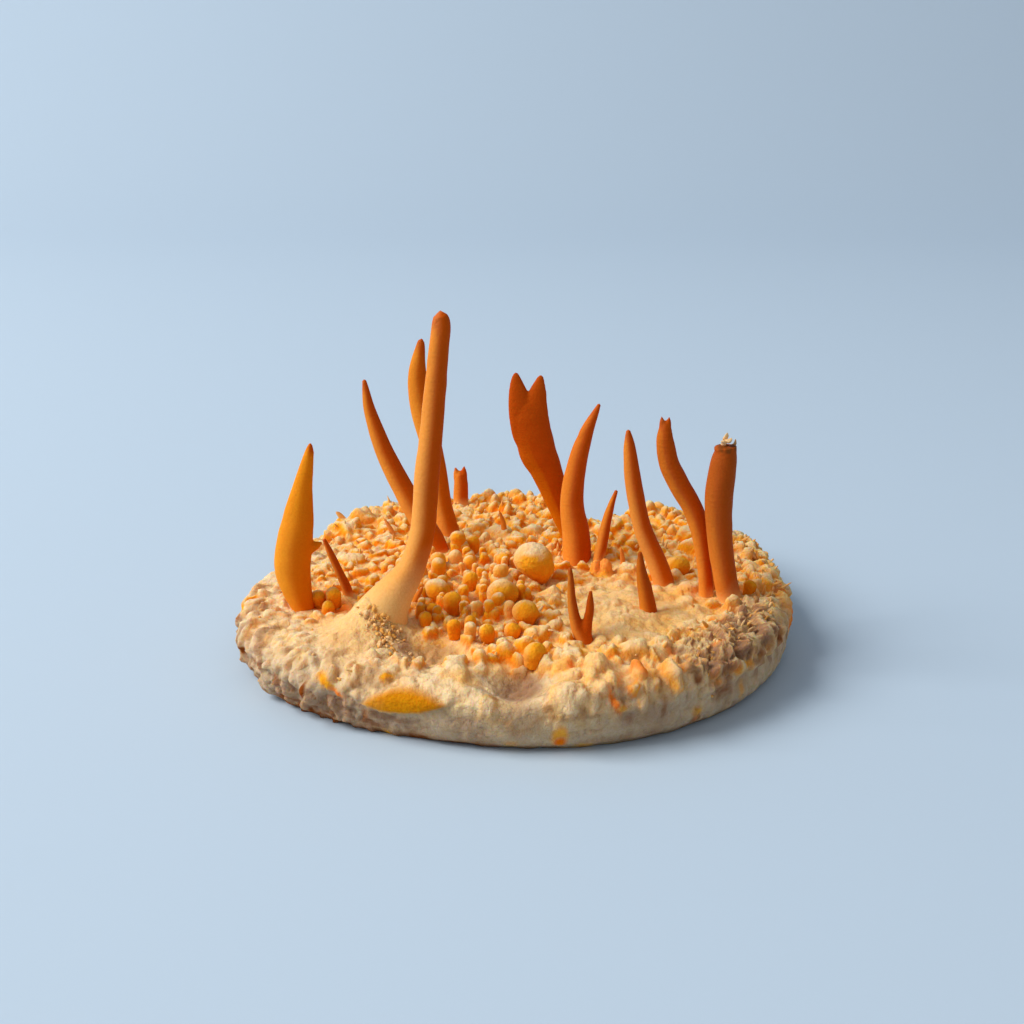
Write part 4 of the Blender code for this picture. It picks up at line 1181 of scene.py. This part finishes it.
class BUNCH_OT_clubs(bpy.types.Operator):
    """Make the clubs, each in place of its solid"""
    bl_idname = "bunch.clubs"
    bl_label = "Clubs"

    def execute(self, context):
        finish = club_finish(context.scene.bunch_colours)
        for name, (foot, flat, points) in CLUBS.items():
            piece = self.club(name, foot, flat, points)
            pale_from, pale_to, deep, lit, brown = CLUB_LOOKS[name]
            height = piece[:, 2] / MM
            middle = np.column_stack([np.interp(height, *np.array(points)[:, (2, axis)].T)
                                      for axis in (0, 1)])
            turned = unit(piece[:, :2] / MM - foot - middle)
            share = height / height.max()
            rise = smooth(0.2, 1.0, share)
            foot_height = height + 0.8 * soft_noise(piece, 2 * MM, 71)
            over_scar = height - SCARS.get(name, 99) + soft_noise(piece, 0.6 * MM, 72)
            # The deep mask adds painted shade on the side turned away from the light, and the pale mask
            # adds painted light on the side turned towards it, besides the deeper tip and the real pale
            # foot.
            masks = {"deep": deep * (0.3 + 0.7 * rise) + 0.75 * smooth(-0.1, 0.9, turned @ SHADED_SIDE)
                     + 0.9 * smooth(0.93, 1.0, share),
                     "pale": np.maximum(1 - smooth(pale_from, pale_to, foot_height),
                                        lit * smooth(0.1, 1.0, turned @ LIT_SIDE) * (1 - 0.7 * rise)),
                     "scar": np.maximum(brown * rise, smooth(-0.3, 0.3, over_scar))}
            put_mesh(name + "_flesh", piece, self.faces, masks, finish, CLUB_SLOT, name)
        return {"FINISHED"}

    def club(self, name, foot, flat, points):
        """Points of a club: its tube, and where it branches the tubes fused into one skin."""
        tubes = []
        for shape in (points, *BRANCHES.get(name, ())):
            path = smooth_path((np.array(shape) + (foot[0], foot[1], 0, 0)) * MM, CLUB_PIECES)
            path[:, 3] += np.minimum(CLUB_PLUMP, 0.3 * path[:, 3])
            tubes.append((tube_points(path, flat, CLUB_SIDES), tube_faces(1, len(path), CLUB_SIDES)))
        made, self.faces = tubes[0] if len(tubes) == 1 else fuse(tubes)
        swell = 0.05 * MM * soft_noise(made, 1.8 * MM, 70)[:, None]
        middle = np.array((foot[0] * MM, foot[1] * MM, 0))
        return made + swell * np.sign(made - middle) * (1, 1, 0)


def rows_of(data, name):
    """The vector called name of each of a mesh's points, as rows."""
    rows = np.empty(3 * len(data))
    data.foreach_get(name, rows)
    return rows.reshape(-1, 3)


def fuse(shapes):
    """Fuse overlapping closed shapes into one smooth skin, by cells of FUSE_CELL."""
    points, faces = [], []
    for shape_points, shape_faces in shapes:
        start = sum(len(part) for part in points)
        points.append(shape_points)
        faces += [[start + corner for corner in face] for face in shape_faces]
    mesh = bpy.data.meshes.new("fusing")
    mesh.from_pydata(np.vstack(points).tolist(), [], faces)
    guide = put_object("fusing", mesh)
    remesh = guide.modifiers.new("fuse", "REMESH")
    remesh.mode = "VOXEL"
    remesh.voxel_size = FUSE_CELL
    settle = guide.modifiers.new("settle", "SMOOTH")
    settle.iterations = 14
    fused = bpy.data.meshes.new_from_object(guide.evaluated_get(bpy.context.evaluated_depsgraph_get()))
    made, faces = rows_of(fused.vertices, "co"), [list(face.vertices) for face in fused.polygons]
    bpy.data.objects.remove(guide)
    bpy.data.meshes.remove(mesh)
    bpy.data.meshes.remove(fused)
    return made, faces


class BUNCH_OT_stage(bpy.types.Operator):
    """Make the floor, the lights and the camera"""
    bl_idname = "bunch.stage"
    bl_label = "Stage"

    def execute(self, context):
        scene = context.scene
        finish = Finish("plain_floor", scene.bunch_colours.floor, 0.85)
        turn = np.linspace(0, math.pi / 2, 13)
        out = np.hstack((-FLOOR_HALF, FLOOR_FLAT + FLOOR_BEND * np.sin(turn), FLOOR_FLAT + FLOOR_BEND))
        up = np.hstack((0.0, FLOOR_BEND * (1 - np.cos(turn)), FLOOR_HALF))
        sides = np.repeat((-FLOOR_HALF, FLOOR_HALF), len(out))
        points = np.column_stack((sides, np.tile(out, 2), np.tile(up, 2)))
        step = np.arange(len(out) - 1)
        faces = np.column_stack((step, step + len(out), step + len(out) + 1, step + 1))
        mesh = bpy.data.meshes.new("floor")
        mesh.from_pydata(points.tolist(), [], faces.tolist())
        mesh.materials.append(finish.done())
        mesh.shade_smooth()
        put_object("floor", mesh)

        world = bpy.data.worlds.new("soft_room")
        world.use_nodes = True
        background = world.node_tree.nodes["Background"]
        background.inputs["Color"].default_value = (0.93, 0.96, 1.0, 1.0)
        background.inputs["Strength"].default_value = 0.35
        scene.world = world
        for name, place, target, size, power, colour in LIGHTS:
            light = bpy.data.lights.new(name, "AREA")
            light.size, light.energy, light.color = size, power, colour
            lamp = put_object(name, light)
            lamp.location = place
            x, y, z = unit(np.array(target) - place)
            lamp.rotation_euler = (math.acos(-z), 0.0, math.atan2(-x, y))

        lens = bpy.data.cameras.new("camera")
        lens.sensor_width, lens.lens, lens.clip_start = SENSOR, LENS, 0.01
        camera = scene.camera = put_object("camera", lens)
        camera.location = CAMERA_PLACE
        camera.rotation_euler = (math.pi / 2 - CAMERA_DOWN, 0.0, 0.0)
        scene.view_settings.view_transform = "Standard"
        return {"FINISHED"}


class BUNCH_PT_panel(bpy.types.Panel):
    """Lists the steps that make the bunch"""
    bl_label = "Cordyceps Bunch"
    bl_idname = "BUNCH_PT_panel"
    bl_space_type = "VIEW_3D"
    bl_region_type = "UI"
    bl_category = "Cordyceps"

    def draw(self, context):
        for step in STEPS:
            self.layout.operator(step.bl_idname)
        for group in (context.scene.bunch_sizes, context.scene.bunch_colours):
            for name in group.__annotations__:
                self.layout.prop(group, name)


STEPS = (BUNCH_OT_cake, BUNCH_OT_tufts, BUNCH_OT_bits, BUNCH_OT_clubs, BUNCH_OT_stage)
CLASSES = (BunchColours, BunchSizes, *STEPS, BUNCH_PT_panel)


def register():
    for kind in CLASSES:
        bpy.utils.register_class(kind)
    bpy.types.Scene.bunch_colours = bpy.props.PointerProperty(type=BunchColours)
    bpy.types.Scene.bunch_sizes = bpy.props.PointerProperty(type=BunchSizes)


def unregister():
    del bpy.types.Scene.bunch_sizes
    del bpy.types.Scene.bunch_colours
    for kind in reversed(CLASSES):
        bpy.utils.unregister_class(kind)


def main():
    """Register the steps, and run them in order."""
    register()
    bpy.ops.bunch.cake()
    bpy.ops.bunch.tufts()
    bpy.ops.bunch.bits()
    bpy.ops.bunch.clubs()
    bpy.ops.bunch.stage()


if __name__ == "__main__":
    main()
